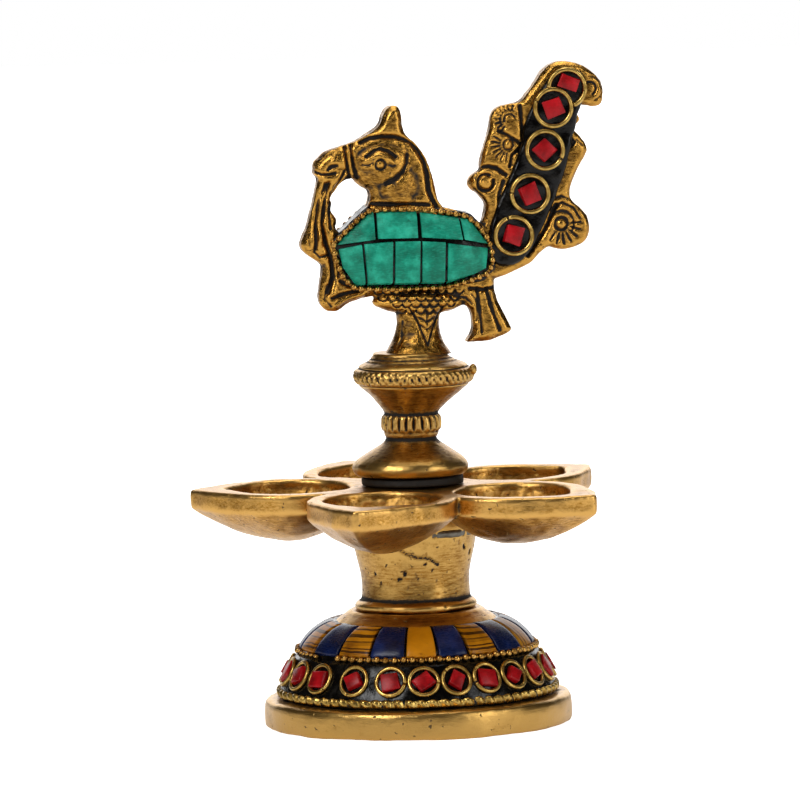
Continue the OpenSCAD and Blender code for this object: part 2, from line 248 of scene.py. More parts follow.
def antique_brass(name, streaks, bright="#C59C56", mid="#84591F", dark="#140B04", grain=0.6,
                  pits=0.5, soil=0.0, polish=0.3):
    """Cast brass, blacked and rubbed back: bright on high spots, brown-black in the hollows.
    streaks is round for turned pieces and flat for filed ones, and sets how the brush marks run.
    soil darkens the whole piece in patches, and polish is the roughness of the rubbed metal."""
    material = new_material(name)
    place = add(material, "TexCoord").outputs["Object"]
    if streaks == "round":
        xyz = add(material, "SeparateXYZ", inputs={"Vector": place})
        flat = add(material, "CombineXYZ", inputs={"X": xyz.outputs["X"], "Y": xyz.outputs["Y"]})
        radius = add(material, "VectorMath", {"operation": "LENGTH"}, {"Vector": flat.outputs["Vector"]})
        turn = add(material, "Math", {"operation": "ARCTAN2"}, {0: xyz.outputs["Y"], 1: xyz.outputs["X"]})
        slow = add(material, "Math", {"operation": "MULTIPLY"}, {0: turn.outputs["Value"], 1: 0.0022})
        run = add(material, "CombineXYZ", inputs={
            "X": radius.outputs["Value"], "Y": xyz.outputs["Z"],
            "Z": slow.outputs["Value"]}).outputs["Vector"]
    else:
        run = add(material, "Mapping", inputs={"Vector": place, "Scale": (0.3, 1, 1),
                                               "Rotation": (0, 0.5, 0)}).outputs["Vector"]
    marks = add(material, "TexNoise", inputs={"Vector": run, "Scale": 2200, "Detail": 3, "Roughness": 0.7})
    clouds = add(material, "TexNoise", inputs={"Vector": place, "Scale": 130, "Detail": 7, "Roughness": 0.68})
    grit = add(material, "TexNoise", inputs={"Vector": place, "Scale": 1300, "Detail": 4, "Roughness": 0.7})
    spots = add(material, "TexNoise", inputs={"Vector": place, "Scale": 620, "Detail": 2, "Distortion": 0.6})
    hollow = add(material, "Attribute", {"attribute_name": "hollow"})
    dirt = add(material, "Math", {"operation": "MULTIPLY_ADD"}, {
        0: clouds.outputs["Fac"], 1: 0.85, 2: hollow.outputs["Fac"]})
    dirt = add(material, "Math", {"operation": "MULTIPLY_ADD"}, {
        0: grit.outputs["Fac"], 1: 0.45, 2: dirt.outputs["Value"]})
    sandy = add(material, "Attribute", {"attribute_name": "sandy"})
    dirt = add(material, "Math", {"operation": "MULTIPLY_ADD"}, {
        0: sandy.outputs["Fac"], 1: -0.3, 2: dirt.outputs["Value"]})
    dirt = add(material, "Math", {"operation": "ADD"}, {0: dirt.outputs["Value"], 1: soil})
    dirty = add(material, "MapRange", {"interpolation_type": "SMOOTHSTEP"}, {
        "Value": dirt.outputs["Value"], "From Min": 0.68, "From Max": 1.12})
    worn = add(material, "MapRange", {"interpolation_type": "SMOOTHSTEP"}, {
        "Value": dirt.outputs["Value"], "From Min": 0.62, "From Max": 0.3})
    pit = add(material, "MapRange", {"interpolation_type": "SMOOTHSTEP"}, {
        "Value": spots.outputs["Fac"], "From Min": 0.67, "From Max": 0.73, "To Max": 0.8})
    tone = add(material, "MapRange", inputs={
        "Value": marks.outputs["Fac"], "From Min": 0.34, "From Max": 0.68})
    body = add(material, "Mix", {"data_type": "RGBA"}, {
        0: tone.outputs["Result"], 6: linear(mid), 7: linear(bright)})
    rubbed = add(material, "Mix", {"data_type": "RGBA"}, {
        0: worn.outputs["Result"], 6: body.outputs[2], 7: linear(bright)})
    black = add(material, "Math", {"operation": "MAXIMUM"}, {
        0: dirty.outputs["Result"], 1: pit.outputs["Result"]})
    aged = add(material, "Mix", {"data_type": "RGBA"}, {
        0: black.outputs["Value"], 6: rubbed.outputs[2], 7: linear(dark)})
    rough = add(material, "MapRange", inputs={
        "Value": black.outputs["Value"], "To Min": polish, "To Max": 0.7})
    rough = add(material, "Math", {"operation": "MULTIPLY_ADD", "use_clamp": True}, {
        0: sandy.outputs["Fac"], 1: 0.22, 2: rough.outputs["Result"]})
    metal = add(material, "MapRange", inputs={"Value": black.outputs["Value"], "To Min": 1.0, "To Max": 0.3})
    fine = add(material, "Bump", inputs={
        "Height": marks.outputs["Fac"], "Strength": 0.3 * grain, "Distance": 0.0002})
    pitted = add(material, "Bump", inputs={
        "Height": grit.outputs["Fac"], "Strength": pits, "Distance": 0.00016,
        "Normal": fine.outputs["Normal"]})
    sunk = add(material, "Bump", {"invert": True}, {
        "Height": pit.outputs["Result"], "Strength": 0.5, "Distance": 0.0002,
        "Normal": pitted.outputs["Normal"]})
    brass = add(material, "BsdfPrincipled", inputs={
        "Base Color": aged.outputs[2], "Metallic": metal.outputs["Result"],
        "Roughness": rough.outputs["Value"], "Normal": sunk.outputs["Normal"]})
    return output(material, brass.outputs["BSDF"])


turned_brass = antique_brass("turned_antique_brass", "round")
foot_high = measured("foot_casting")[1]
rim_r, cap_z = foot_high.x, foot_high.z
rim_h = measured("foot_strip_wire")[0].z
foot_profile = [
    (31.4, -1), (32.4, -1), (34.7, -1), (rim_r - 0.15, -0.7), (rim_r, 0.4), (rim_r, 3.6),
    (rim_r - 0.25, rim_h - 0.7), (34.6, rim_h - 0.1), (33, rim_h), (31, rim_h), (30.4, 6.4), (26.2, 14.6),
    (18.8, 21.6), (18.9, 22.6), (18.2, 23.4), (16.4, 24.6), (15.3, cap_z), (14.4, cap_z), (9, cap_z),
    (9, 21.6), (13.6, 20.4), (23.6, 12.2), (27.6, 4.4)]
bm = lathe(divide(soften(foot_profile, 2, True), 0.9, True), 192, True)
roughen(bm, 0.22, 9, 1)
roughen(bm, 0.1, 2.5, 2)
for v in bm.verts:
    v.co.z = max(v.co.z, -base_h)
piece("foot_casting", bm, "lamp", ["foot_casting"], turned_brass, hollows=(20, 0.3))

# ---- Lac on the foot ----
# Black lac, softened by heat and pressed on by hand, beds the rings and the tiles. It sets hard
# and glossy, with finger-smooth lumps and dust in its low spots.


def black_lac():
    """Lac resin: black, with a broken gloss."""
    material = new_material("black_lac")
    place = add(material, "TexCoord").outputs["Object"]
    lumps = add(material, "TexNoise", inputs={"Vector": place, "Scale": 420, "Detail": 5, "Roughness": 0.6})
    dust = add(material, "MapRange", inputs={
        "Value": lumps.outputs["Fac"], "From Min": 0.45, "From Max": 0.75})
    colour = add(material, "Mix", {"data_type": "RGBA"}, {
        0: dust.outputs["Result"], 6: linear("#040303"), 7: linear("#15120D")})
    rough = add(material, "MapRange", inputs={
        "Value": dust.outputs["Result"], "To Min": 0.14, "To Max": 0.42})
    bump = add(material, "Bump", inputs={
        "Height": lumps.outputs["Fac"], "Strength": 0.45, "Distance": 0.0003})
    lac = add(material, "BsdfPrincipled", inputs={
        "Base Color": colour.outputs[2], "Specular IOR Level": 0.22, "Roughness": rough.outputs["Result"],
        "IOR": 1.52, "Normal": bump.outputs["Normal"]})
    return output(material, lac.outputs["BSDF"])


lac = black_lac()
band_low, band_high = Vector((31.9, 8.3)), Vector((28.1, 15.5))
tile_low, tile_high = Vector((26.3, 17)), Vector((18.7, 22.8))
lac_profile = [(30.7, rim_h), (31.9, rim_h + 0.1), band_low, band_high, (27.3, 15.9),
               tile_low + Vector((0.5, 0.4)), (23.2, 20.1), tile_high + Vector((0.35, 0.55)), (18.3, 23.2),
               (17.6, 22.4), (26, 14.2)]
bm = lathe(divide(soften(lac_profile, 2, True), 0.8, True), 192, True)
roughen(bm, 0.3, 3.5, 3)
piece("foot_lac", bm, "lamp", ["foot_lac"], lac)

# ---- Notched strip round the foot ----
# A flat brass strip, stamped with notches, stands round the bottom of the lac. Its two ends
# don't quite meet at the front left, and the lac has crept over it in places.


def wire_brass(name, light, dull):
    """Drawn brass wire, paler than the casting, dull in its corners."""
    material = new_material(name)
    place = add(material, "TexCoord").outputs["Object"]
    grey = add(material, "TexNoise", inputs={"Vector": place, "Scale": 700, "Detail": 4})
    tone = add(material, "MapRange", inputs={"Value": grey.outputs["Fac"], "From Min": 0.35, "From Max": 0.7})
    colour = add(material, "Mix", {"data_type": "RGBA"}, {
        0: tone.outputs["Result"], 6: linear(light), 7: linear(dull)})
    rough = add(material, "MapRange", inputs={
        "Value": tone.outputs["Result"], "To Min": 0.25, "To Max": 0.45})
    bump = add(material, "Bump", inputs={"Height": grey.outputs["Fac"], "Strength": 0.25, "Distance": 0.0001})
    wire = add(material, "BsdfPrincipled", inputs={
        "Base Color": colour.outputs[2], "Metallic": 1.0, "Roughness": rough.outputs["Result"],
        "Normal": bump.outputs["Normal"]})
    return output(material, wire.outputs["BSDF"])


wire = wire_brass("drawn_brass_wire", "#D0AE60", "#8A6A2E")
golden = wire_brass("golden_brass_beads", "#D0A154", "#7E5620")
strip_high = measured("foot_strip_wire")[1]
strip_r, strip_top = strip_high.x, strip_high.z - 0.15
notches, steps_per_notch = 74, 6
strip_profile = [(31.5, rim_h + 0.5), (strip_r - 0.35, rim_h + 0.6), (strip_r - 0.1, rim_h + 1.1),
                 (strip_r, strip_top - 0.7), (strip_r - 0.3, strip_top - 0.1), (31.5, strip_top)]
bm = lathe(soften(strip_profile, 1, True), notches * steps_per_notch, True)
for v in bm.verts:
    turn = math.atan2(v.co.y, v.co.x)
    wave = math.sin(notches * turn + 0.8 * v.co.z + 1.6 * noise.noise(Vector((turn * 4, 0, 0))))
    notch = 0.5 + 0.5 * math.tanh(1.8 * (wave - 0.25))
    high = (v.co.z - rim_h - 0.5) / (strip_top - rim_h - 0.5)
    pinch = 0.75 * notch * max(0, math.hypot(v.co.x, v.co.y) - 31.6)
    out = Vector((v.co.x, v.co.y, 0)).normalized()
    v.co -= out * pinch
    v.co.z -= 0.35 * notch * high
    v.co += 0.14 * noise.noise(v.co / 5) * out
    v.co.z += 0.12 * noise.noise(v.co / 4 + Vector((9, 0, 0)))
piece("foot_strip_wire", bm, "lamp", ["foot_strip_wire"], wire)

# ---- Bead wire round the foot ----
# A row of small brass beads on a wire, pressed into the lac between the rings and the tiles.
# The row is open for a short way at the front left, and the end there is squashed flat.


def bead(bm, place, d, seed, squash=1.0):
    """One cast bead, never quite round."""
    rng = random.Random(seed)
    stretch = Matrix.Diagonal((rng.uniform(0.9, 1.05), rng.uniform(0.9, 1.05), squash, 1))
    spin = Matrix.Rotation(rng.uniform(0, 3), 4, "Z")
    bmesh.ops.create_uvsphere(bm, u_segments=12, v_segments=8, radius=d / 2,
                              matrix=Matrix.Translation(place) @ spin @ stretch)


bead_d, bead_r, bead_z, bead_pitch = 1.55, 27.6, 16.7, 2.08
gap_start, gap_end = -57, -41
bm = bmesh.new()
sweep = 360 - (gap_end - gap_start)
bead_total = round(math.radians(sweep) * bead_r / bead_pitch)
for k in range(bead_total + 1):
    turn = math.radians(gap_end + sweep * k / bead_total - 90)
    wobble = 0.12 * math.sin(k * 1.7)
    place = Vector((bead_r * math.cos(turn), bead_r * math.sin(turn), bead_z + wobble))
    bead(bm, place, bead_d * (0.8 if k > bead_total - 6 else 1), k, 0.7 if k > bead_total - 6 else 1)
    link = math.radians(gap_end + sweep * (k - 0.5) / bead_total - 90)
    if k:
        bead(bm, Vector((27.3 * math.cos(link), 27.3 * math.sin(link), bead_z - 0.1)), 0.8, k + 500)
piece("foot_bead_wire", bm, "lamp", ["foot_bead_wire"], golden)

# ---- Wire rings and coral chips round the foot ----
# Each ring is bent from one turn of brass wire and pressed into the lac. Its cut ends show on
# many of them. A ground chip of red stone sits in the middle of each.

band_slope = math.atan2(band_high.y - band_low.y, band_low.x - band_high.x)
band_mid = band_low.lerp(band_high, 0.5)
ring_places = [-64, -48, -29, -12, 2.5, 17, 31.5, 46.5, 61.5, 77] + [77 + 15.6 * k for k in range(1, 14)]
chip_turns = [20, 5, 30, 12, 38, 62, -8, 50, 14, 40]


def on_band(place, lift=0.0):
    """The frame of a ring's place on the lac, with +Z along the outward normal."""
    return (Matrix.Rotation(math.radians(place - 90), 4, "Z")
            @ Matrix.Translation((band_mid.x, 0, band_mid.y))
            @ Matrix.Rotation(band_slope, 4, "Y") @ Matrix.Translation((0, 0, lift)))


def add_part(bm, part):
    """Moves one small part into the mesh of its group."""
    scrap = bpy.data.meshes.new("part")
    part.to_mesh(scrap)
    part.free()
    bm.from_mesh(scrap)
    bpy.data.meshes.remove(scrap)


def wire_ring(bm, frame_of, outer_d, wire_d, gap, bend, seed, start=None):
    """A ring of round wire: open by gap degrees up to start, bent to a surface of radius bend."""
    rng = random.Random(seed)
    start = rng.uniform(0, 360) if start is None else start
    oval, lean = rng.uniform(-0.025, 0.025), rng.uniform(-0.05, 0.05)
    steps, r = 44, (outer_d - wire_d) / 2
    part = bmesh.new()
    bmesh.ops.create_circle(part, cap_ends=False, segments=10, radius=wire_d / 2,
                            matrix=Matrix.Translation((r, 0, 0)) @ Matrix.Rotation(math.pi / 2, 4, "X"))
    bmesh.ops.spin(part, geom=part.verts[:] + part.edges[:], axis=(0, 0, 1), cent=(0, 0, 0),
                   angle=math.radians(360 - gap), steps=steps, use_merge=gap == 0)
    if gap:
        bmesh.ops.holes_fill(part, edges=part.edges[:], sides=12)
    bmesh.ops.rotate(part, verts=part.verts, matrix=Matrix.Rotation(math.radians(start), 3, "Z"))
    for v in part.verts:
        v.co.x *= 1 + oval
        v.co.y *= 1 - oval
        v.co.z += v.co.x * lean * 0.5 - (v.co.y ** 2 / (2 * bend) if bend else 0)
    bmesh.ops.recalc_face_normals(part, faces=part.faces)
    bmesh.ops.transform(part, matrix=frame_of, verts=part.verts)
    add_part(bm, part)


def stone_chip(bm, frame_of, size, height, turn, seed, edge=0.22):
    """A ground chip: a slab with uneven corners, a tilted face and worn edges."""
    rng = random.Random(seed)
    part = bmesh.new()
    bmesh.ops.create_cube(part, size=1)
    for v in part.verts:
        top = v.co.z > 0
        v.co.x *= size[0] * (1 - 0.06 * top)
        v.co.y *= size[1] * (1 - 0.06 * top)
        v.co.x += rng.uniform(-0.09, 0.09) * size[0]
        v.co.y += rng.uniform(-0.09, 0.09) * size[1]
        v.co.z = (height + rng.uniform(-0.14, 0.08)) if top else -0.4
    bmesh.ops.bevel(part, geom=part.edges[:], offset=edge, offset_type="OFFSET", segments=2,
                    profile=0.5, affect="EDGES", material=-1)
    bmesh.ops.transform(part, matrix=frame_of @ Matrix.Rotation(math.radians(turn), 4, "Z"), verts=part.verts)
    add_part(bm, part)


def ground_stone(name, light, mid, dark, rough, scale, scratch=0.3, stripes=None):
    """A stone chip ground flat on a wheel: clouds of colour, dark flecks and fine scratches.
    stripes adds brown grain: across or along the tile."""
    material = new_material(name)
    place = add(material, "TexCoord").outputs["Object"]
    clouds = add(material, "TexNoise", inputs={
        "Vector": place, "Scale": scale, "Detail": 6, "Roughness": 0.6})
    ramp = add(material, "ValToRGB", inputs={"Fac": clouds.outputs["Fac"]})
    for element, at, tint in zip([ramp.color_ramp.elements[0], ramp.color_ramp.elements.new(0.5),
                                  ramp.color_ramp.elements[-1]], (0.3, 0.5, 0.68), (dark, mid, light)):
        element.position = at
        element.color = linear(tint)
    colour = ramp.outputs["Color"]
    flecks = add(material, "TexNoise", inputs={
        "Vector": place, "Scale": scale * 4.5, "Detail": 3, "Distortion": 1.0})
    fleck = add(material, "MapRange", {"interpolation_type": "SMOOTHSTEP"}, {
        "Value": flecks.outputs["Fac"], "From Min": 0.66, "From Max": 0.74, "To Max": 0.75})
    if stripes:
        xyz = add(material, "SeparateXYZ", inputs={"Vector": place})
        if stripes == "across":
            line_of = xyz.outputs["Z"]
            per_unit = 1500
        else:
            line_of = add(material, "Math", {"operation": "ARCTAN2"}, {
                0: xyz.outputs["Y"], 1: xyz.outputs["X"]}).outputs["Value"]
            per_unit = 26
        bent = add(material, "TexNoise", inputs={"Vector": place, "Scale": 160, "Detail": 2})
        at = add(material, "Math", {"operation": "MULTIPLY"}, {0: line_of, 1: per_unit})
        at = add(material, "Math", {"operation": "MULTIPLY_ADD"}, {
            0: bent.outputs["Fac"], 1: 1.2, 2: at.outputs["Value"]})
        grain = add(material, "TexNoise", {"noise_dimensions": "1D"}, {
            "W": at.outputs["Value"], "Scale": 1.0, "Detail": 3, "Roughness": 0.6})
        grain = add(material, "MapRange", {"interpolation_type": "SMOOTHSTEP"}, {
            "Value": grain.outputs["Fac"], "From Min": 0.5, "From Max": 0.56, "To Max": 0.95})
        colour = add(material, "Mix", {"data_type": "RGBA"}, {
            0: grain.outputs["Result"], 6: colour, 7: linear("#2E1604")}).outputs[2]
    colour = add(material, "Mix", {"data_type": "RGBA"}, {
        0: fleck.outputs["Result"], 6: colour, 7: linear(dark)}).outputs[2]
    lines = add(material, "Mapping", inputs={
        "Vector": place, "Scale": (1, 1, 7), "Rotation": (0.3, 0.9, 0.2)})
    fine = add(material, "TexNoise", inputs={"Vector": lines.outputs["Vector"], "Scale": 900, "Detail": 4})
    scraped = add(material, "MapRange", inputs={
        "Value": fine.outputs["Fac"], "From Min": 0.52, "From Max": 0.7, "To Max": scratch * 0.6})
    colour = add(material, "Mix", {"data_type": "RGBA"}, {
        0: scraped.outputs["Result"], 6: colour, 7: linear(light)}).outputs[2]
    rough_at = add(material, "MapRange", inputs={
        "Value": fine.outputs["Fac"], "To Min": rough - 0.08, "To Max": rough + 0.12})
    bump = add(material, "Bump", inputs={
        "Height": fine.outputs["Fac"], "Strength": scratch, "Distance": 0.00012})
    stone = add(material, "BsdfPrincipled", inputs={
        "Base Color": colour, "Specular IOR Level": 0.2, "Roughness": rough_at.outputs["Result"], "IOR": 1.54,
        "Normal": bump.outputs["Normal"]})
    return output(material, stone.outputs["BSDF"])


coral = ground_stone("coral_stone", "#B8141E", "#980A12", "#5A0407", 0.3, 260)
rings, chips = bmesh.new(), bmesh.new()
for k, place in enumerate(ring_places):
    wire_ring(rings, on_band(place, 0.3), 7.6, 0.98, 6 if k % 3 == 0 else 1.5, 34, k)
    size = 3.7 + 0.5 * math.sin(k * 2.4)
    stone_chip(chips, on_band(place), (size, size + 0.3), 1.15, chip_turns[k % len(chip_turns)], k)
piece("foot_wire_rings", rings, "lamp", ["foot_wire_rings"], wire)
piece("foot_coral_chips", chips, "lamp", ["foot_coral_chips"], coral, sharp=50)

# ---- Stone tiles round the dome ----
# Tiles of dark blue and of amber-yellow stone alternate round the dome. Each is ground to the
# dome's curve, with soft edges, and bedded in the lac with a thin black seam all round.

navy = ground_stone("dark_blue_stone", "#1B2F66", "#0B1840", "#050B22", 0.26, 110, 0.25)
amber = ground_stone("amber_stone", "#C9820E", "#B67208", "#8E5404", 0.3, 120, 0.25)
amber_across = ground_stone("amber_stone_striped", "#C98412", "#B2720A", "#7A4604", 0.3, 120, 0.25, "across")
amber_along = ground_stone("amber_stone_grained", "#C08A30", "#AA741C", "#6C4208", 0.3, 120, 0.25, "along")
tile_seams = [
    -61, -42, -24, -6, 10, 26, 43, 62, 78, 96, 115,
    133, 151, 169, 187, 205, 224, 242, 261, 280, 299]
amber_looks = [amber_across, amber, amber_across, amber_along, amber_across]
slope_run = tile_high - tile_low
slope_out = Vector((slope_run.y, -slope_run.x)).normalized()


def tile(name, start, end, material, seed):
    """A tile between two seams, in degrees: a grid bent onto the dome, crowned, with rounded edges."""
    rng = random.Random(seed)
    part = bmesh.new()
    bmesh.ops.create_grid(part, x_segments=14, y_segments=14, size=1)
    skew = [rng.uniform(-0.35, 0.35) for _ in range(4)]
    depth = 1.5 + rng.uniform(-0.1, 0.1)
    for v in part.verts:
        u, w = v.co.x * 0.5 + 0.5, v.co.y * 0.5 + 0.5
        side = skew[0] * (1 - u) * w + skew[1] * u * (1 - w)
        along = -0.045 + 1.03 * w + 0.012 * skew[2] * u + 0.01 * noise.noise(Vector((u * 3, seed, w)))
        edge = min(u, 1 - u, w, 1 - w)
        crown = 1.05 + 1.0 * (1 - (2 * w - 1) ** 2) - 0.15 * max(0, 1 - edge * 9) ** 2
        at = tile_low + slope_run * along + slope_out * (
            crown + 0.06 * noise.noise(Vector((u * 2, w * 2, seed))))
        turn = math.radians(start + (end - start) * u + side - 90)
        v.co = Vector((at.x * math.cos(turn), at.x * math.sin(turn), at.y))
    bmesh.ops.recalc_face_normals(part, faces=part.faces)
    if sum((f.normal.x * f.calc_center_median().x + f.normal.y * f.calc_center_median().y)
           for f in part.faces) < 0:
        bmesh.ops.reverse_faces(part, faces=part.faces)
    rim = [e for e in part.edges if e.is_boundary]
    grown = bmesh.ops.extrude_edge_only(part, edges=rim)["geom"]
    lowered = [g for g in grown if isinstance(g, bmesh.types.BMVert)]
    for v in lowered:
        flat = math.hypot(v.co.x, v.co.y)
        v.co.x -= v.co.x / flat * slope_out.x * depth
        v.co.y -= v.co.y / flat * slope_out.x * depth
        v.co.z -= slope_out.y * depth
    bmesh.ops.holes_fill(part, edges=[e for e in part.edges if e.is_boundary], sides=0)
    bmesh.ops.recalc_face_normals(part, faces=part.faces)
    folds = [e for e in part.edges if e.is_manifold and e.calc_face_angle() > math.radians(45)]
    bmesh.ops.bevel(part, geom=folds, offset=0.2, offset_type="OFFSET", segments=2, profile=0.5,
                    affect="EDGES", material=-1)
    piece(name, part, "lamp", [name], material, sharp=60)


for k in range(20):
    start, end = tile_seams[k] + 0.75, tile_seams[k + 1] - 0.75
    if k % 2 == 0:
        tile(f"blue_tile_{k // 2 + 1}", start, end, navy, k)
    else:
        tile(f"amber_tile_{k // 2 + 1}", start, end, amber_looks[(k // 2) % 5], k)

# ---- Lower stem ----
# A short cast tube with a flange on the foot, turned on the outside. Casting pits and a long
# fold in the metal were left in it, and black dirt fills the seam over the flange.

stem_low, stem_high = measured("lower_stem")
bore_r = 4.05
stem_profile = [
    (6.5, stem_low.z), (8.95, stem_low.z), (8.95, cap_z), (13.4, cap_z + 0.05), (14, cap_z + 0.4),
    (14.1, cap_z + 1.3), (13.5, cap_z + 1.9), (12.7, cap_z + 2.4), (12.5, cap_z + 3), (12.4, 30),
    (12.4, 33), (12.8, 35.4), (13.5, 38.4), (14.1, 41.5), (14.5, 44), (14.55, stem_high.z),
    (bore_r, stem_high.z), (bore_r, 40.5), (6.5, 38)]
bm = lathe(divide(soften(stem_profile, 1, True), 0.5, True), 220, True)
roughen(bm, 0.35, 8, 4)
fold = [(math.radians(-90 + a), z) for a, z in (
    (-34, 42.5), (-20, 41.4), (-8, 39.6), (2, 38.6), (14, 38.2), (24, 36.6))]
for v in bm.verts:
    r = math.hypot(v.co.x, v.co.y)
    if r < 10:
        continue
    turn = math.atan2(v.co.y, v.co.x)
    near = min(math.hypot((turn - a - (b - a) * s) * r, v.co.z - z - (w - z) * s)
               for (a, z), (b, w) in zip(fold, fold[1:]) for s in (0, 0.2, 0.4, 0.6, 0.8, 1))
    inward = 0.3 * math.exp(-(near / 0.35) ** 2)
    pit = noise.noise(v.co / 1.1 + Vector((5, 2, 1)))
    inward += 1.2 * max(0, pit - 0.4) * (1 if noise.noise(v.co / 6) > 0 else 0.3)
    v.co.x -= v.co.x / r * inward
    v.co.y -= v.co.y / r * inward
piece("lower_stem", bm, "lamp", ["lower_stem"], turned_brass, hollows=(30, 0.25))

# ---- Solder under the plate ----
# Grey solder was run round the top of the stem and has set in smears and drips.


def dull_solder():
    """Tin solder, gone dull, with flux dirt in it."""
    material = new_material("dull_solder")
    place = add(material, "TexCoord").outputs["Object"]
    smear = add(material, "TexNoise", inputs={"Vector": place, "Scale": 500, "Detail": 5})
    colour = add(material, "Mix", {"data_type": "RGBA"}, {
        0: smear.outputs["Fac"], 6: linear("#8E897E"), 7: linear("#241F17")})
    bump = add(material, "Bump", inputs={"Height": smear.outputs["Fac"], "Strength": 0.5, "Distance": 0.0003})
    tin = add(material, "BsdfPrincipled", inputs={
        "Base Color": colour.outputs[2], "Metallic": 0.85, "Roughness": 0.45,
        "Normal": bump.outputs["Normal"]})
    return output(material, tin.outputs["BSDF"])


solder_low, solder_high = measured("stem_solder")
solder_profile = [(14, solder_low.z), (14.6, solder_low.z + 0.4), (15.1, solder_low.z + 1.4),
                  (14, solder_high.z)]
bm = lathe(soften(solder_profile, 2, True), 160, True)
for v in bm.verts:
    turn = math.atan2(v.co.y, v.co.x)
    r = math.hypot(v.co.x, v.co.y)
    smear = noise.noise(Vector((math.cos(turn) * 2.2, math.sin(turn) * 2.2, 4)))
    scale = (14.1 + (r - 14) * max(0.0, min(1.0, 0.75 + 2.4 * smear))) / r
    v.co.x *= scale
    v.co.y *= scale
roughen(bm, 0.15, 1.5, 6)
piece("stem_solder", bm, "lamp", ["stem_solder"], dull_solder())

# ---- Lamp plate ----
# One brass casting: five pointed oil bowls round a flat middle with a hole for the stud. The
# edge and the undersides are filed, and the insides of the bowls keep the grain of the mould.

plate_z = measured("plate_washer")[0].z
plate_low = measured("lamp_plate")[0]
bowl_x, tip_x, band_h, bowl_h, floor_t, plate_tilt = 28, 51.4, 4.3, 12.3, 2.9, 1.2
bowl_r, spout_r, recess_r, recess_spout_r, recess_end = 17, 9.3, 13.3, 3.2, 8.6
middle_r, middle_t, stud_hole_r = 19, 5.7, 4.4
seat_r = 13.5


def shell_object(name, bm):
    mesh = bpy.data.meshes.new(name)
    bm.to_mesh(mesh)
    bm.free()
    made = bpy.data.objects.new(name, mesh)
    scene.collection.objects.link(made)
    return made


def bowl_form(r, wing, tip, blunt, top, middle, bottom, power, turn):
    """The convex body of a bowl: a pointed plan, straight from top to middle, boat-shaped below.
    Power 1 curves the underside like a parabola and 2 like an ellipse."""
    bm = bmesh.new()
    layers = [(top, 1.0)] + [(middle - (middle - bottom) * s, max(math.sqrt(1 - s ** power), 0.14))
                             for s in (math.sin(math.pi / 2 * k / 16) for k in range(17))]
    for z, k in layers:
        for at, radius, count in ((bowl_x, r, 64), (bowl_x + 12, wing, 40), (tip - blunt, blunt, 16)):
            bmesh.ops.create_circle(bm, segments=count, radius=radius * k,
                                    matrix=Matrix.Translation((bowl_x + (at - bowl_x) * k, 0, z)))
    skin = bmesh.ops.convex_hull(bm, input=bm.verts)
    bmesh.ops.delete(bm, geom=list(set(skin["geom_interior"] + skin["geom_unused"])), context="VERTS")
    bmesh.ops.rotate(bm, verts=bm.verts, matrix=Matrix.Rotation(math.radians(turn), 3, "Z"))
    bmesh.ops.recalc_face_normals(bm, faces=bm.faces)
    return bm


def disc(r, low, high, segments=96):
    bm = bmesh.new()
    bmesh.ops.create_cone(bm, cap_ends=True, segments=segments, radius1=r, radius2=r, depth=high - low,
                          matrix=Matrix.Translation((0, 0, (low + high) / 2)))
    return bm


def cut(target, tool):
    modifier = target.modifiers.new("cut", "BOOLEAN")
    modifier.operation = "DIFFERENCE"
    modifier.object = tool
    bake_modifiers(target)


def bake_modifiers(target):
    """Applies an object's modifiers to its mesh."""
    bpy.context.view_layer.update()
    shape = bpy.data.meshes.new_from_object(target.evaluated_get(bpy.context.evaluated_depsgraph_get()))
    target.modifiers.clear()
    old, target.data = target.data, shape
    bpy.data.meshes.remove(old)


def one_skin(objects, voxel, smooth_rounds, smooth_factor=0.5):
    """Melts overlapping solids into one even skin and returns it as a bmesh."""
    bm = bmesh.new()
    for made in objects:
        bm.from_mesh(made.data)
        bpy.data.objects.remove(made)
    joined = shell_object("joined", bm)
    modifier = joined.modifiers.new("skin", "REMESH")
    modifier.mode = "VOXEL"
    modifier.voxel_size = voxel
    bake_modifiers(joined)
    bm = bmesh.new()
    bm.from_mesh(joined.data)
    bpy.data.objects.remove(joined)
    for _ in range(smooth_rounds):
        bmesh.ops.smooth_vert(bm, verts=bm.verts, factor=smooth_factor, use_axis_x=True, use_axis_y=True,
                              use_axis_z=True)
    bmesh.ops.recalc_face_normals(bm, faces=bm.faces)
    return bm


bowl_turns = [180, 255, 324, 36, 108]
wells = [shell_object("well", bowl_form(recess_r, recess_spout_r, tip_x - recess_end, 2, plate_z + 1,
                                        plate_z - 1.2, plate_z - bowl_h + floor_t, 2, turn))
         for turn in bowl_turns]
parts = []
for turn, well in zip(bowl_turns, wells):
    bowl = shell_object("bowl", bowl_form(bowl_r, spout_r, tip_x, 1, plate_z, plate_z - band_h,
                                          plate_z - bowl_h, 1, turn))
    cut(bowl, well)
    parts.append(bowl)
middle = shell_object("middle", disc(middle_r, plate_z - middle_t, plate_z))
hole = shell_object("hole", disc(stud_hole_r, plate_z - 9, plate_z + 2, 48))
for tool in wells + [hole]:
    cut(middle, tool)
for tool in wells + [hole]:
    bpy.data.objects.remove(tool)
parts.append(middle)
bm = one_skin(parts, 0.5, 2)
sandy = bm.verts.layers.float.new("sandy")
roughen(bm, 0.45, 14, 8)
roughen(bm, 0.16, 3.2, 9)
bowl_middles = [bowl_x * Vector((math.cos(math.radians(t)), math.sin(math.radians(t)))) for t in bowl_turns]
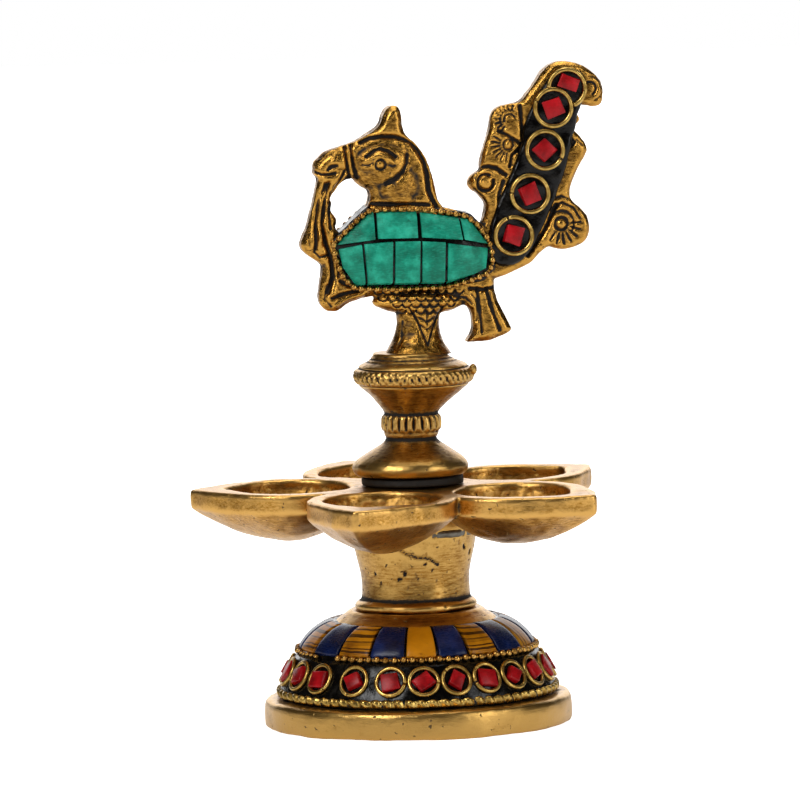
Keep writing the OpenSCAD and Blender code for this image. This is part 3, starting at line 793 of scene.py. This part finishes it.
for v in bm.verts:
    # Inside the bowls the grain of the sand mould was left.
    away = min((v.co.xy - middle_of_bowl).length for middle_of_bowl in bowl_middles)
    if v.normal.z > 0.2 and v.co.z < plate_z - 1 and away < 15:
        v.co += v.normal * 0.4 * noise.noise(v.co / 1.1)
        v[sandy] = 1
    v.co.z = min(v.co.z, plate_z)
about = Matrix.Translation((0, 0, plate_z)) @ Matrix.Rotation(math.radians(plate_tilt), 4, "X")
bmesh.ops.transform(bm, matrix=about @ Matrix.Translation((0, 0, -plate_z)), verts=bm.verts)
for v in bm.verts:
    if math.hypot(v.co.x, v.co.y) < seat_r:
        v.co.z = min(v.co.z, plate_z)
    if math.hypot(v.co.x, v.co.y) < 14.6:
        v.co.z = max(v.co.z, stem_high.z)
    v.co.y = max(v.co.y, plate_low.y)
plate_brass = antique_brass("filed_antique_brass", "flat", bright="#D3A45A", mid="#94661F")
piece("lamp_plate", bm, "lamp", ["lamp_plate"], plate_brass, hollows=(30, 0.8))

# ---- Washer ----
# A black washer that seats the finial on the plate.


def black_rubber():
    """Old rubber: black, matt, with a grey bloom."""
    material = new_material("black_rubber")
    place = add(material, "TexCoord").outputs["Object"]
    bloom = add(material, "TexNoise", inputs={"Vector": place, "Scale": 600, "Detail": 4})
    colour = add(material, "Mix", {"data_type": "RGBA"}, {
        0: bloom.outputs["Fac"], 6: linear("#070605"), 7: linear("#26221C")})
    bump = add(material, "Bump", inputs={"Height": bloom.outputs["Fac"], "Strength": 0.5, "Distance": 0.0003})
    rubber = add(material, "BsdfPrincipled", inputs={
        "Base Color": colour.outputs[2], "Roughness": 0.7, "Normal": bump.outputs["Normal"]})
    return output(material, rubber.outputs["BSDF"])


washer_low, washer_high = measured("plate_washer")
washer_r, hole_r = washer_high.x, 4.35
washer_profile = [(hole_r, washer_low.z), (washer_r - 0.2, washer_low.z),
                  (washer_r - 0.1, washer_low.z + 0.9), (washer_r - 0.3, washer_high.z),
                  (hole_r, washer_high.z)]
bm = lathe(divide(soften(washer_profile, 1, True), 0.6, True), 128, True)
for v in bm.verts:
    v.co += 0.12 * noise.noise(v.co / 2) * Vector((v.co.x, v.co.y, 0)).normalized() - \
        0.1 * Vector((v.co.x, v.co.y, 0)).normalized()
piece("plate_washer", bm, "washer", ["plate_washer"], black_rubber())

# ---- Stud ----
# A brass stud, screwed and fixed in the finial. It passes through the washer and the plate and
# screws into the stem. Its thread is cut right-handed, 1.25 mm a turn.

stud_low, stud_high = measured("finial_stud")
stud_r, thread_pitch, thread_depth = stud_high.x, 1.25, 0.68
thread_end = measured("finial_stem")[0].z
turns_of_thread = (thread_end - stud_low.z - 1.2) / thread_pitch
bm = bmesh.new()
flank = [Vector((stud_r - thread_depth - 0.3, 0, 0)), Vector((stud_r - thread_depth, 0, 0.12)),
         Vector((stud_r - 0.04, 0, 0.52)), Vector((stud_r - 0.04, 0, 0.68)),
         Vector((stud_r - thread_depth, 0, 1.08)), Vector((stud_r - thread_depth - 0.3, 0, 1.2))]
ring = [bm.verts.new(p + Vector((0, 0, stud_low.z + 0.3))) for p in flank]
loop = [bm.edges.new(pair) for pair in zip(ring, ring[1:] + ring[:1])]
bmesh.ops.spin(bm, geom=ring + loop, axis=(0, 0, 1), cent=(0, 0, 0), angle=2 * math.pi * turns_of_thread,
               dvec=(0, 0, thread_pitch / 40), steps=int(40 * turns_of_thread))
bmesh.ops.holes_fill(bm, edges=[e for e in bm.edges if e.is_boundary], sides=0)
core_profile = [(0, stud_low.z), (stud_r - 1, stud_low.z), (stud_r - thread_depth + 0.02, stud_low.z + 0.4),
                (stud_r - thread_depth + 0.02, thread_end - 0.9), (stud_r - 0.05, thread_end - 0.5),
                (stud_r - 0.05, stud_high.z), (0, stud_high.z)]
core = lathe(core_profile, 48)
core_mesh = bpy.data.meshes.new("core")
core.to_mesh(core_mesh)
core.free()
bm.from_mesh(core_mesh)
bmesh.ops.recalc_face_normals(bm, faces=bm.faces)
piece("finial_stud", bm, "finial", ["finial_stud"], wire, sharp=35)

# ---- Finial stem ----
# A turned brass casting: a bun foot, a neck with a fluted collar, and a knob with a roped edge
# between two grooves. Black is left in the grooves and between the flutes.

knob_low, knob_high = measured("finial_stem")
base_z = knob_low.z
knob_r = knob_high.x
stem_points = [
    (0, 6.5), (4, 6.5), (4, 0), (12.2, 0), (13.1, 0.8), (13.4, 2.2), (12.7, 3.5), (11.1, 4.7), (8.9, 6.0),
    (6.9, 7.3), (6.1, 8.1), (5.8, 8.7), (6.1, 9.1), (6.3, 9.6), (6.3, 10.1), (6.9, 10.7), (7, 12.2),
    (6.9, 13.6), (6.2, 14.2), (6.4, 14.7), (7, 15.6), (8.6, 17.3), (10.4, 19), (12, 20.3), (12.7, 20.9),
    (12.6, 21.2), (13.4, 21.4), (knob_r - 0.1, 22.2), (knob_r - 0.05, 23.7), (13.4, 24.6), (12.4, 24.9),
    (12.6, 25.2), (12, 25.7), (10.4, 26.3), (9.2, 27.1), (8.4, 28), (8.1, 28.5), (0, 28.5)]
outline = divide(soften([(r, base_z + z) for r, z in stem_points], 1), 0.35)
bm = lathe(outline, 256)
for v in bm.verts:
    r = math.hypot(v.co.x, v.co.y)
    if r < 5:
        continue
    turn = math.atan2(v.co.y, v.co.x)
    z = v.co.z - base_z
    rope = max(0, 1 - ((z - 23) / 1.7) ** 2) * (r > 12.4)
    flute = max(0, 1 - ((z - 12.2) / 2) ** 2) * (r < 8)
    strand = 0.5 + 0.5 * math.sin(50 * turn + 2.1 * (z - 23))
    crossing = max(0, math.sin(50 * turn - 2.6 * (z - 23)))
    plait = strand ** 2 + 0.5 * crossing
    rope_depth = (0.5 + 0.4 * noise.noise(v.co / 2)) * rope * plait
    wander = 2 * noise.noise(Vector((turn, z / 4, 1)))
    flute_depth = flute * (0.5 + 0.5 * math.sin(21 * turn + 0.3 * (z - 12) + wander)) ** 3
    ridge = 0.12 * math.sin(z * 9) * (26 < z < 28)
    out = 0.16 * noise.noise(v.co / 4 + Vector((3, 3, 3))) + 0.07 * noise.noise(v.co / 1.2)
    k = (r - rope_depth - flute_depth + out + ridge) / r
    upper_lean = min(1, max(0, (z - 14) / 5)) * min(1, max(0, (28 - z) / 3))
    lower_lean = min(1, max(0, (7 - z) / 4))
    sway = 0.9 * upper_lean - 0.4 * lower_lean
    v.co.x = v.co.x * k + sway
    v.co.y *= k
nub = Matrix.Translation((14.6, -2.5, base_z + 24.2)) @ Matrix.Diagonal((0.9, 1.2, 1.3, 1))
bmesh.ops.create_uvsphere(bm, u_segments=16, v_segments=10, radius=1, matrix=nub)
piece("finial_stem", bm, "finial", ["finial_stem"], turned_brass, hollows=(24, 0.22))

# ---- Peacock casting ----
# One flat brass casting, carved the same on both sides: a crested head, a garland from the beak
# to the breast, a scaled belly on a round pillar and a tail with flowers and scrolls.
# The carving is filled with black and the high parts are rubbed bright.

on_bird = (Matrix.Rotation(math.radians(10), 4, "Z") @ Matrix.Translation((-1.4, 0, 0))
           @ Matrix.Rotation(math.radians(1.5), 4, "Y"))
head_outline = [
    (-2.7, 136.4), (-2.9, 139.4), (-3.6, 141.6), (-5.1, 142), (-7.2, 140.6), (-7.9, 137.2), (-10.6, 135.4),
    (-13.8, 133.6), (-15.6, 133), (-17.4, 132.4), (-20, 131.6), (-22.2, 129.6), (-23.5, 126.7),
    (-23, 125.8), (-19.6, 122.4), (-17.2, 124.2), (-15.2, 125.2), (-12.8, 124.9), (-11, 123.8),
    (-10.2, 121.6), (-10.2, 119.6), (-12.7, 116.5), (-10, 112), (10, 112), (8.8, 115.8), (6.4, 118.6),
    (5.3, 120.6), (4.7, 124), (4, 127.2), (2.4, 130.4), (0.4, 133), (-1.6, 134.6)]
garland_outline = [
    (-22.2, 126.4), (-22.9, 122.4), (-23.5, 119), (-24.6, 114.6), (-26.4, 110.8), (-26.4, 109),
    (-24.4, 107.2), (-21.4, 105.6), (-21.3, 103.4), (-22.3, 99), (-22.1, 96.4), (-20.6, 94.9),
    (-18.9, 94.4), (-17.4, 94.8), (-15.4, 96.6), (-12.6, 97.4), (-9, 98.2), (-6, 97.4), (-2, 96), (-2, 106),
    (-12, 112), (-17.4, 112.6), (-18.5, 113.8), (-17.9, 115.6), (-18.7, 116.9), (-19.5, 118.2),
    (-18.9, 119.4), (-19.8, 120.4), (-18.6, 122.4), (-16.8, 124.6), (-19, 127)]
body_outline = [(-19.4, 110), (-11, 119), (1, 119), (12.8, 117.2), (19.4, 110.6), (19.4, 103), (14, 100),
                (8, 99.2), (-11, 99.2), (-16, 101.6)]
under_outline = [
    (-5, 101), (-3.6, 94), (6.4, 94), (7.6, 95.8), (9.4, 96.3), (11.6, 96), (13.1, 94.8), (13.8, 92.6),
    (13.9, 89.7), (12.2, 87.4), (12.6, 86.8), (15, 87.1), (18.4, 87.6), (21.8, 88.8), (23.1, 90),
    (22.4, 91.2), (20.9, 94.6), (19, 98), (18.8, 104), (6, 104)]
tail_outline = [
    (15.4, 101), (19, 101.6), (23.2, 103.2), (27.2, 105), (29.6, 107.4), (31.4, 109.2), (33.6, 108.4),
    (35.8, 108.2), (38.6, 108.9), (40.6, 110.4), (41.3, 112.8), (41, 115.6), (39.2, 117.8), (36.6, 119.8),
    (36.4, 121.6), (36.8, 123.4), (38.6, 127), (40.6, 130.4), (40.4, 132.4), (38.6, 134.6), (37.2, 135.9),
    (37.8, 137), (39.1, 138.1), (38.4, 139.4), (37.8, 140.2), (38.4, 141.6), (40, 141.4), (42, 141),
    (43.9, 141.5), (44.4, 143.6), (44.1, 146.4), (42.1, 149.2), (38.8, 151.1), (35, 151.9), (32.2, 151.3),
    (30.2, 149.6), (28.6, 147.2), (26.9, 144.8), (25, 142.3), (22.4, 142), (19.6, 141.2), (18.2, 139.6),
    (17.9, 137.6), (17.6, 136), (16.7, 133), (15.7, 130.2), (15.6, 127.6), (15.8, 126.6), (13.4, 125.6),
    (12.8, 123.8), (13.8, 122.2), (15.9, 120.4), (17.2, 118.6), (15.6, 114)]


def slab(outline, thickness, edge, rounds=1):
    """An outline in X and Z made solid, centred on the bird's middle plane, with chamfered rims."""
    bm = bmesh.new()
    face = bm.faces.new([bm.verts.new((p.x, -thickness / 2 + edge, p.y))
                         for p in soften(outline, rounds, True)])
    moved = bmesh.ops.extrude_face_region(bm, geom=[face])["geom"]
    bmesh.ops.translate(bm, vec=(0, thickness - 2 * edge, 0),
                        verts=[g for g in moved if isinstance(g, bmesh.types.BMVert)])
    bmesh.ops.recalc_face_normals(bm, faces=bm.faces)
    ends = [f for f in bm.faces if abs(f.normal.y) > 0.9]
    for end in ends:
        bmesh.ops.inset_region(bm, faces=[end], thickness=edge, depth=edge, use_even_offset=False)
    bmesh.ops.triangulate(bm, faces=[f for f in bm.faces if len(f.verts) > 4])
    return shell_object("slab", bm)


def lump(centre, half):
    """An ellipsoid in the bird's frame."""
    bm = bmesh.new()
    bmesh.ops.create_uvsphere(bm, u_segments=40, v_segments=24, radius=1,
                              matrix=Matrix.Translation(centre) @ Matrix.Diagonal((*half, 1)))
    return shell_object("lump", bm)


def arc(centre, r, start, end, steps=10):
    """Points on a circle about a centre, between two angles in degrees."""
    return [(centre[0] + r * math.cos(math.radians(start + (end - start) * k / steps)),
             centre[1] + r * math.sin(math.radians(start + (end - start) * k / steps)))
            for k in range(steps + 1)]


def rays(centre, inner, outer, start, end, count):
    """Short straight cuts that spread from a centre."""
    angles = [math.radians(start + (end - start) * k / (count - 1)) for k in range(count)]
    return [[(centre[0] + r * math.cos(a), centre[1] + r * math.sin(a)) for r in (inner, outer)]
            for a in angles]


def carve(bm, strokes):
    """Cuts strokes into both sides of the bird: each is (points, half width, depth); a minus depth raises."""
    bm.normal_update()
    co = np.array([v.co for v in bm.verts])
    facing = np.clip((np.abs(np.array([v.normal.y for v in bm.verts])) - 0.25) / 0.4, 0, 1)
    push = np.zeros(len(co))
    for points, width, depth in strokes:
        near = np.full(len(co), 1e9)
        for a, b in zip(points, points[1:]):
            a, run = np.array(a), np.array(b) - np.array(a)
            rel = co[:, (0, 2)] - a
            share = np.clip(rel @ run / max(run @ run, 1e-9), 0, 1)
            near = np.minimum(near, ((rel - share[:, None] * run) ** 2).sum(1))
        push += depth * np.exp(-near / width ** 2)
    push = np.clip(push, -1.2, 1.4)
    for v, moved, side in zip(bm.verts, push * facing, np.sign(co[:, 1])):
        v.co.y -= side * moved


parts = [
    slab(head_outline, 6.6, 1.2), slab(garland_outline, 5.6, 1.3), slab(body_outline, 5.2, 0.3),
    slab(under_outline, 5.2, 1.2), slab(tail_outline, 5.2, 1.0), lump((-7.2, 0, 128.2), (8.2, 5.0, 6.4)),
    lump((-8.5, 0, 129.1), (6.3, 5.45, 4.9)), lump((-4, 0, 123.6), (6.8, 4.5, 6.4)),
    lump((-17.6, 0, 129), (4.8, 3.9, 3.2)), lump((-21, 0, 127.9), (2.5, 3.4, 2.2)),
    lump((-22.9, 0, 111), (2.6, 3.6, 4.4)), lump((-19.3, 0, 98.4), (2.8, 3.4, 4)),
    lump((1.4, 0, 96.6), (11, 4.6, 2.9)), lump((14.8, 0, 123.8), (2.2, 3.3, 2.2))]
pillar = lathe([(0, 84), (7.9, 84), (7.4, 85.2), (6.2, 87), (5.2, 89.2), (4.9, 91.4), (5, 93.4), (5.6, 95.6),
                (6.4, 98), (0, 98)], 64)
bmesh.ops.scale(pillar, vec=(1, 0.92, 1), verts=pillar.verts)
bmesh.ops.translate(pillar, vec=(1.2, 0, 0), verts=pillar.verts)
parts.append(shell_object("pillar", pillar))
bm = one_skin(parts, 0.3, 3)

eye_at, fan_at, lobe_at, scroll_at, plume_at = (
    (-8.4, 128.4), (22.2, 138.4), (21.9, 132.6), (16.6, 123.9), (34.4, 114.2))
strokes = [
    # Crest rim, cheek, eye and brow
    ([(-12.6, 133.3), (-10.6, 134.3), (-7.9, 134.8), (-4.8, 134.7), (-2.8, 134.1), (-0.9, 133.1),
      (0.7, 131.5), (2.1, 129), (2.9, 125.9), (3.2, 122.4), (4.2, 120), (5.8, 117.3)], 0.5, 1.3),
    ([(-1.9, 130.4), (-2, 128.7), (-3, 126.7), (-4.6, 125.2), (-6.8, 124)], 0.5, 0.8),
    ([(-1.6, 131.6), (-2.7, 133), (-4.4, 133.5)], 0.4, 0.3),
    (arc(eye_at, 1.15, 0, 360, 20), 0.22, 0.6),
    (arc(eye_at, 0.25, 0, 360, 8), 0.4, -0.25),
    ([(-12.4, 128.4), (-11.2, 128.2), (-10.1, 128.9)], 0.22, 0.35),
    ([(-6.9, 128.5), (-5.6, 128), (-4.9, 128.2)], 0.22, 0.3),
    ([(-12.1, 129.2), (-10.6, 130.3), (-8.7, 130.6), (-6.6, 129.8), (-5.2, 128.9)], 0.32, -0.3),
    ([(-11.5, 130.2), (-10, 131.5), (-8.3, 132.1), (-6.4, 131.5), (-4.7, 130.2)], 0.36, 0.85),
    # Band at the root of the beak, nostril, mouth and chin
    ([(-16.4, 132.4), (-16.2, 130.4), (-15.7, 127.4), (-15, 125.2)], 0.34, 0.9),
    ([(-15, 133.2), (-14.9, 131), (-14.4, 128), (-13.5, 125.3)], 0.36, 1.0),
    ([(-15.7, 132.6), (-15.2, 128.4), (-14.4, 125.2)], 0.3, -0.3),
    ([(-20.3, 127.2), (-19.4, 128), (-18.3, 128.2)], 0.34, 0.7),
    ([(-23.4, 126.9), (-21.6, 126.2), (-20, 126.2), (-18.6, 126.4)], 0.34, 0.9),
    ([(-16.4, 126.9), (-17.4, 124.9), (-18.8, 122.6)], 0.3, 0.8),
    ([(-15.4, 125.6), (-17, 123.9), (-18, 122)], 0.26, 0.6),
    # Collar on the neck
    ([(-10.2, 119.4), (-6, 119.2), (0, 119.2), (3.4, 119)], 0.34, 0.85),
    ([(-10.6, 118.6), (-6, 118.4), (0, 118.4), (4.4, 117.9)], 0.3, -0.35),
    # Folds of the garland
    ([(-20.8, 123.8), (-22.2, 119.8), (-23, 114.8), (-23.1, 109.2)], 0.5, 1.2),
    ([(-19.9, 124.2), (-21, 119.6), (-21.7, 114.8), (-20.9, 110.8), (-19.5, 107), (-19.1, 102.8),
      (-20.2, 99)], 0.5, 1.2),
    ([(-19.4, 121.8), (-19.9, 117.2), (-19.6, 113.6)], 0.4, 0.8),
    ([(-21.8, 121.5), (-22.4, 115.6), (-21.9, 111)], 0.35, -0.5),
    ([(-23.4, 108.4), (-22, 107.2), (-20, 107.6)], 0.35, 0.7),
    ([(-18.4, 112), (-17.9, 108), (-17.6, 103)], 0.4, 0.5),
    ([(-19.4, 97.6), (-16.6, 98.6), (-12.6, 99.6)], 0.4, 0.9),
    ([(-20.6, 100.6), (-20.9, 97.6), (-19.4, 95.8)], 0.35, 0.5),
    ([(-18.4, 96), (-15.6, 97.4), (-12, 98.4)], 0.35, -0.4),
    ([(-17.4, 101.6), (-15, 100.4), (-12.4, 100.2)], 0.35, 0.6),
    # Fan feather behind the pillar
    ([(14.6, 99.4), (15.2, 95), (15.8, 89.4)], 0.34, 0.8),
    ([(16.8, 99.4), (18.2, 94.6), (20, 89.8)], 0.34, 0.8),
    ([(13.4, 98.2), (14.6, 96.4), (14.8, 92)], 0.3, 0.45),
    ([(12.8, 99.6), (16, 99.2), (18.6, 99.8)], 0.34, 0.8),
    ([(9.4, 98), (12, 97.4), (13.6, 96)], 0.3, 0.5),
    # Flower on the tail's front edge, the scroll under it and the eye feather behind
    ([(19.6, 135.8), (21.6, 134.9), (23.6, 133.6), (25.2, 132.6)], 0.32, 1.0),
    ([(24.7, 141.4), (25, 138), (25.5, 133)], 0.4, 1.0), (arc(fan_at, 1.3, 20, 200), 0.24, 0.6),
    (arc(fan_at, 2.2, 40, 210), 0.2, 0.4), (arc(lobe_at, 1.2, 0, 360, 14), 0.24, 0.5),
    (arc(lobe_at, 0.3, 0, 360, 6), 0.5, -0.4),
    ([(22.3, 127.6), (22.8, 130.2), (25.2, 132.2)], 0.34, 1.0),
    ([(15.6, 127.4), (17.4, 127.6), (19.2, 127.2), (21.4, 125.6)], 0.36, 1.0),
    (arc(scroll_at, 1.9, 60, 375, 24), 0.34, 1.0), (arc(scroll_at, 0.4, 0, 360, 6), 0.8, -0.3),
    ([(20.8, 124.2), (19.8, 121), (19.8, 118)], 0.4, 0.7),
    (arc(plume_at, 1.5, 0, 360, 20), 0.26, 0.7), (arc(plume_at, 3, -30, 190, 20), 0.26, 0.55),
    (arc(plume_at, 0.3, 0, 360, 6), 0.6, -0.35),
    ([(32.2, 117.4), (34.6, 119.2), (37.4, 117.8), (38.8, 115.4)], 0.3, 0.7),
    ([(33.2, 118.6), (31.8, 115.4), (30.2, 112.2), (26.5, 107.1)], 0.42, 1.1),
    ([(32.4, 120), (34.4, 120.6), (36, 120)], 0.3, 0.6),
    # Leaf, scratches and hook at the tail's back edge
    ([(37.6, 139.6), (38, 138.4), (37.4, 136.8)], 0.5, 0.6),
    ([(36.3, 134.4), (37.6, 133), (36.4, 131.8)], 0.28, 0.7),
    ([(38, 133.6), (39.2, 132.4)], 0.24, 0.4), (arc((41, 145.4), 1.5, -60, 120), 0.26, 0.6),
    (arc((41.3, 145.4), 2.8, -70, 100), 0.22, 0.35)]
strokes += [(ray, 0.2, 0.6) for ray in rays(fan_at, 2, 3.3, 75, 235, 9)]
strokes += [(ray, 0.22, 0.6) for ray in rays(lobe_at, 2, 3.9, 150, 262, 7)]
strokes += [(ray, 0.24, 0.6) for ray in rays(plume_at, 2.3, 4.6, -125, 5, 7)]
strokes += [([(27.6 + 0.95 * k, 108.2 + 1.86 * k), (28.9 + 0.8 * k, 107.9 + 1.7 * k)], 0.16, 0.3)
            for k in range(6)]
for row in range(4):
    for k in range(11):
        at = (-8.4 + 2.1 * k + 1.05 * (row % 2), 99.3 - 1.45 * row)
        if abs(at[0] - 1.6) < 11 - 1.9 * row:
            strokes.append((arc(at, 1.0, 190, 350, 6), 0.2, 0.6))
strokes += [([(-1.4, 95.2), (0.3, 92.4), (2.6, 86.8), (4.8, 92.4), (6.4, 95.2)], 0.3, 0.8),
            ([(0.6, 93.2), (2.6, 92), (4.6, 93.2)], 0.22, 0.5),
            ([(1.2, 91.4), (2.6, 90.2), (4, 91.4)], 0.22, 0.5), ([(2.6, 94.6), (2.6, 88.4)], 0.18, 0.35),
            ([(-2.8, 92.2), (-3.2, 88.2), (-4.6, 85.6)], 0.26, 0.3)]
carve(bm, strokes)
roughen(bm, 0.24, 4.5, 12)
roughen(bm, 0.09, 1.3, 13)
bmesh.ops.transform(bm, matrix=on_bird, verts=bm.verts)
pillar_z = measured("peacock_casting")[0].z
for v in bm.verts:
    v.co.z = max(v.co.z, pillar_z - 0.6)
bird_brass = antique_brass("cast_antique_brass", "flat", "#C08F40", "#52320C", grain=0.7, pits=0.8, soil=0.14,
                            polish=0.23)
piece("peacock_casting", bm, "finial", ["peacock_casting"], bird_brass, hollows=(26, 0.3))

# ---- Lac and turquoise on the body ----
# Each side of the body is built up with black lac, faceted like a cut stone. Nine ground chips of
# turquoise cover it in two rows, with a thin black seam between them.

inlay_plan = [(-18.2, 110.1), (-10.2, 117.5), (0, 117.5), (12.4, 115.6), (17, 109.6), (16.4, 103.7),
              (7, 100.8), (-13.6, 100.6), (-17.3, 104.8)]
core_y, ridge_y = 2.6, 4.9
upper_chips = [
    [(-18.3, 109.9), (-9.75, 111.3), (-9.75, 118), (-12.6, 117.2)],
    [(-9.25, 111.4), (0.25, 111.5), (0.3, 118.2), (-9.25, 118)],
    [(1.05, 111.6), (10.75, 110.95), (10, 116.6), (0.95, 118)],
    [(11.05, 110.95), (17.2, 109.7), (13.5, 115.6), (10.25, 116.5)]]
lower_chips = [
    [(-13.6, 100), (-11.65, 100), (-12.75, 110.3), (-18, 109.1), (-17, 104.8)],
    [(-11.3, 100), (-5.55, 100), (-5.55, 110.9), (-12.4, 110.4)],
    [(-5.15, 100), (0.75, 100), (0.75, 110.95), (-5.2, 110.9)],
    [(1.15, 100), (6.6, 100), (6.65, 110.6), (1.1, 110.9)],
    [(7.1, 100), (13.4, 102.6), (17, 104.4), (17.1, 109), (7.1, 110.4)]]


def body_half(side, grow):
    """Half of the body's padding as one convex solid, grown outwards by grow."""
    bm = bmesh.new()
    for x, z in inlay_plan:
        bm.verts.new((x, side * core_y, z))
        bm.verts.new((x + (x > 0) * 0.2 - (x < 0) * 0.2, side * (core_y + 0.9 * grow / 1.9), z))
    for x, z, share in ((-11.4, 111.2, 1), (10.6, 110.4, 1), (-10.6, 101.2, 0.9), (6.6, 101.4, 0.9),
                        (-9, 117, 0.68), (10.8, 115.4, 0.68)):
        bm.verts.new((x, side * (ridge_y + grow) * share, z))
    skin = bmesh.ops.convex_hull(bm, input=bm.verts)
    bmesh.ops.delete(bm, geom=list(set(skin["geom_interior"] + skin["geom_unused"])), context="VERTS")
    bmesh.ops.recalc_face_normals(bm, faces=bm.faces)
    return bm


wire_plan = [(-20.1, 110.3), (-10.8, 119), (0.2, 119), (13.2, 117), (18.8, 110.2), (18.9, 104), (16.4, 101.4),
             (7.2, 99.3), (-14.6, 99.1)]
halves = [shell_object("half", body_half(side, 0.8)) for side in (-1, 1)]
bm = one_skin([slab(wire_plan, 6.2, 0.3, 0)] + halves, 0.4, 2)
roughen(bm, 0.25, 3, 14)
bmesh.ops.transform(bm, matrix=on_bird, verts=bm.verts)
piece("body_lac", bm, "finial", ["body_lac"], lac)

turquoise = ground_stone("turquoise_stone", "#2BB596", "#07846A", "#05624C", 0.34, 240, 0.9)
for side, side_name in ((-1, "left"), (1, "right")):
    for row_name, row in (("upper", upper_chips), ("lower", lower_chips)):
        for k, corners in enumerate(row):
            rng = random.Random(100 * (side > 0) + 10 * (row_name == "upper") + k)
            bm = body_half(side, 1.85 + rng.uniform(-0.18, 0.05))
            middle = Vector((sum(p[0] for p in corners), sum(p[1] for p in corners))) / len(corners)
            shift = [rng.uniform(-0.16, 0.16) * (side > 0) for _ in corners]
            corners = [Vector((x + s, z)) for (x, z), s in zip(corners, shift)]
            for a, b in zip(corners, corners[1:] + corners[:1]):
                out = Vector((b.y - a.y, a.x - b.x))
                if out.dot(a - middle) < 0:
                    out = -out
                seam = a - 0.1 * out.normalized()
                bmesh.ops.bisect_plane(bm, geom=bm.verts[:] + bm.edges[:] + bm.faces[:],
                                       plane_co=(seam.x, 0, seam.y), plane_no=(out.x, 0, out.y),
                                       clear_outer=True)
                bmesh.ops.holes_fill(bm, edges=[e for e in bm.edges if e.is_boundary], sides=0)
            bmesh.ops.remove_doubles(bm, verts=bm.verts, dist=0.02)
            bmesh.ops.dissolve_limit(bm, angle_limit=math.radians(2), verts=bm.verts, edges=bm.edges)
            bmesh.ops.recalc_face_normals(bm, faces=bm.faces)
            folds = [e for e in bm.edges if e.is_manifold and e.calc_face_angle() > math.radians(30)]
            bmesh.ops.bevel(bm, geom=folds, offset=0.22, offset_type="OFFSET", segments=2, profile=0.5,
                            affect="EDGES", clamp_overlap=True, material=-1)
            bmesh.ops.transform(bm, matrix=on_bird, verts=bm.verts)
            name = f"{side_name}_{row_name}_chip_{k + 1}"
            piece(name, bm, "finial", [name], turquoise, sharp=40)

# ---- Bead wires round the body ----
# A row of brass beads runs round the turquoise on each side, pressed into the lac.

bead_path = [Vector(p) for p in (
    (-19.1, 110.2), (-16.4, 112.9), (-13.2, 116), (-10.9, 117.7), (-7, 118.1), (0.1, 118.1), (6.4, 117.4),
    (11.8, 116.3), (14.4, 114.4), (16.6, 111.6), (17.9, 108.8), (18.1, 105.4), (16.9, 103), (13.2, 101.6),
    (9.6, 100.6), (6.4, 99.9), (-1, 99.7), (-8, 99.7), (-14, 99.9), (-16.8, 102.4), (-18.4, 106.2))]
bm = bmesh.new()
fine = divide(bead_path, 0.05, True)
travelled, following, seed = 0.0, 0.0, 900
for a, b in zip(fine, fine[1:]):
    if travelled >= following:
        for side in (-1, 1):
            bead(bm, Vector((a.x, side * (core_y + 1.0), a.y)), 1.46, seed)
            bead(bm, Vector((a.x + (b.x - a.x) * 18, side * (core_y + 0.6), a.y + (b.y - a.y) * 18)), 0.8,
                 seed + 1)
        following += 1.86
        seed += 2
    travelled += (b - a).length
bmesh.ops.transform(bm, matrix=on_bird, verts=bm.verts)
piece("body_bead_wires", bm, "finial", ["body_bead_wires"], golden)

# ---- Lac, rings and coral chips on the tail ----
# A raised band of black lac fills the middle of the tail. Five brass wire rings sit in it on each
# side, with a ground chip of red stone in each. The top ring is tucked under the next.

tail_band = [
    (16.6, 110), (17.2, 107.4), (18.2, 105.2), (20.4, 104.2), (24.4, 105.2), (27.6, 108.4), (30, 113.4),
    (32.6, 119), (34.6, 124.4), (36.4, 130.6), (37.6, 136), (38.4, 140.4), (40.4, 144.2), (40.6, 147.4),
    (38.6, 149.6), (35.4, 150.6), (32, 149.2), (29, 145), (26.6, 140.6), (25.2, 136), (24.6, 131.6),
    (22.8, 127), (20.6, 122.2), (18.4, 117)]
tail_lac_y = 3.4
bm = one_skin([slab(tail_band, 2 * tail_lac_y + 0.1, 0.7)], 0.42, 2)
roughen(bm, 0.3, 3.2, 15)
bmesh.ops.transform(bm, matrix=on_bird, verts=bm.verts)
piece("tail_lac", bm, "finial", ["tail_lac"], lac)

tail_rings = [(23, 111.7, -14), (26.8, 121.3, 24), (30.3, 131.4, 46), (32.2, 141.1, 22), (35.4, 145.6, -20)]
tail_ring_d = 9.6


def on_tail(x, z, side, lift):
    """The frame of a place on one side of the tail, with +Z outwards."""
    return on_bird @ Matrix.Translation((x, side * (tail_lac_y + lift), z)) @ Matrix.Rotation(
        math.radians(-90 * side), 4, "X")


rings, chips = bmesh.new(), bmesh.new()
for side in (-1, 1):
    for k, (x, z, turn) in enumerate(tail_rings):
        top = k == 4
        # The part of the top ring that would lie under its neighbour is left out.
        gap, start = (114, -68) if top else (2 if k % 2 else 4, None)
        wire_ring(rings, on_tail(x, z, side, 0.35), tail_ring_d, 1.1, gap, 0, 60 + k, start)
        wide, deep = (4.5, 3.1) if top else (4.3, 4.3)
        at = (x + 0.4, z + 1.3) if top else (x, z)
        stone_chip(chips, on_tail(*at, side, 0), (wide, deep), 1.15, turn, 80 + k + 10 * (side > 0), 0.16)
piece("tail_wire_rings", rings, "finial", ["tail_wire_rings"], wire)
piece("tail_coral_chips", chips, "finial", ["tail_coral_chips"], coral, sharp=50)
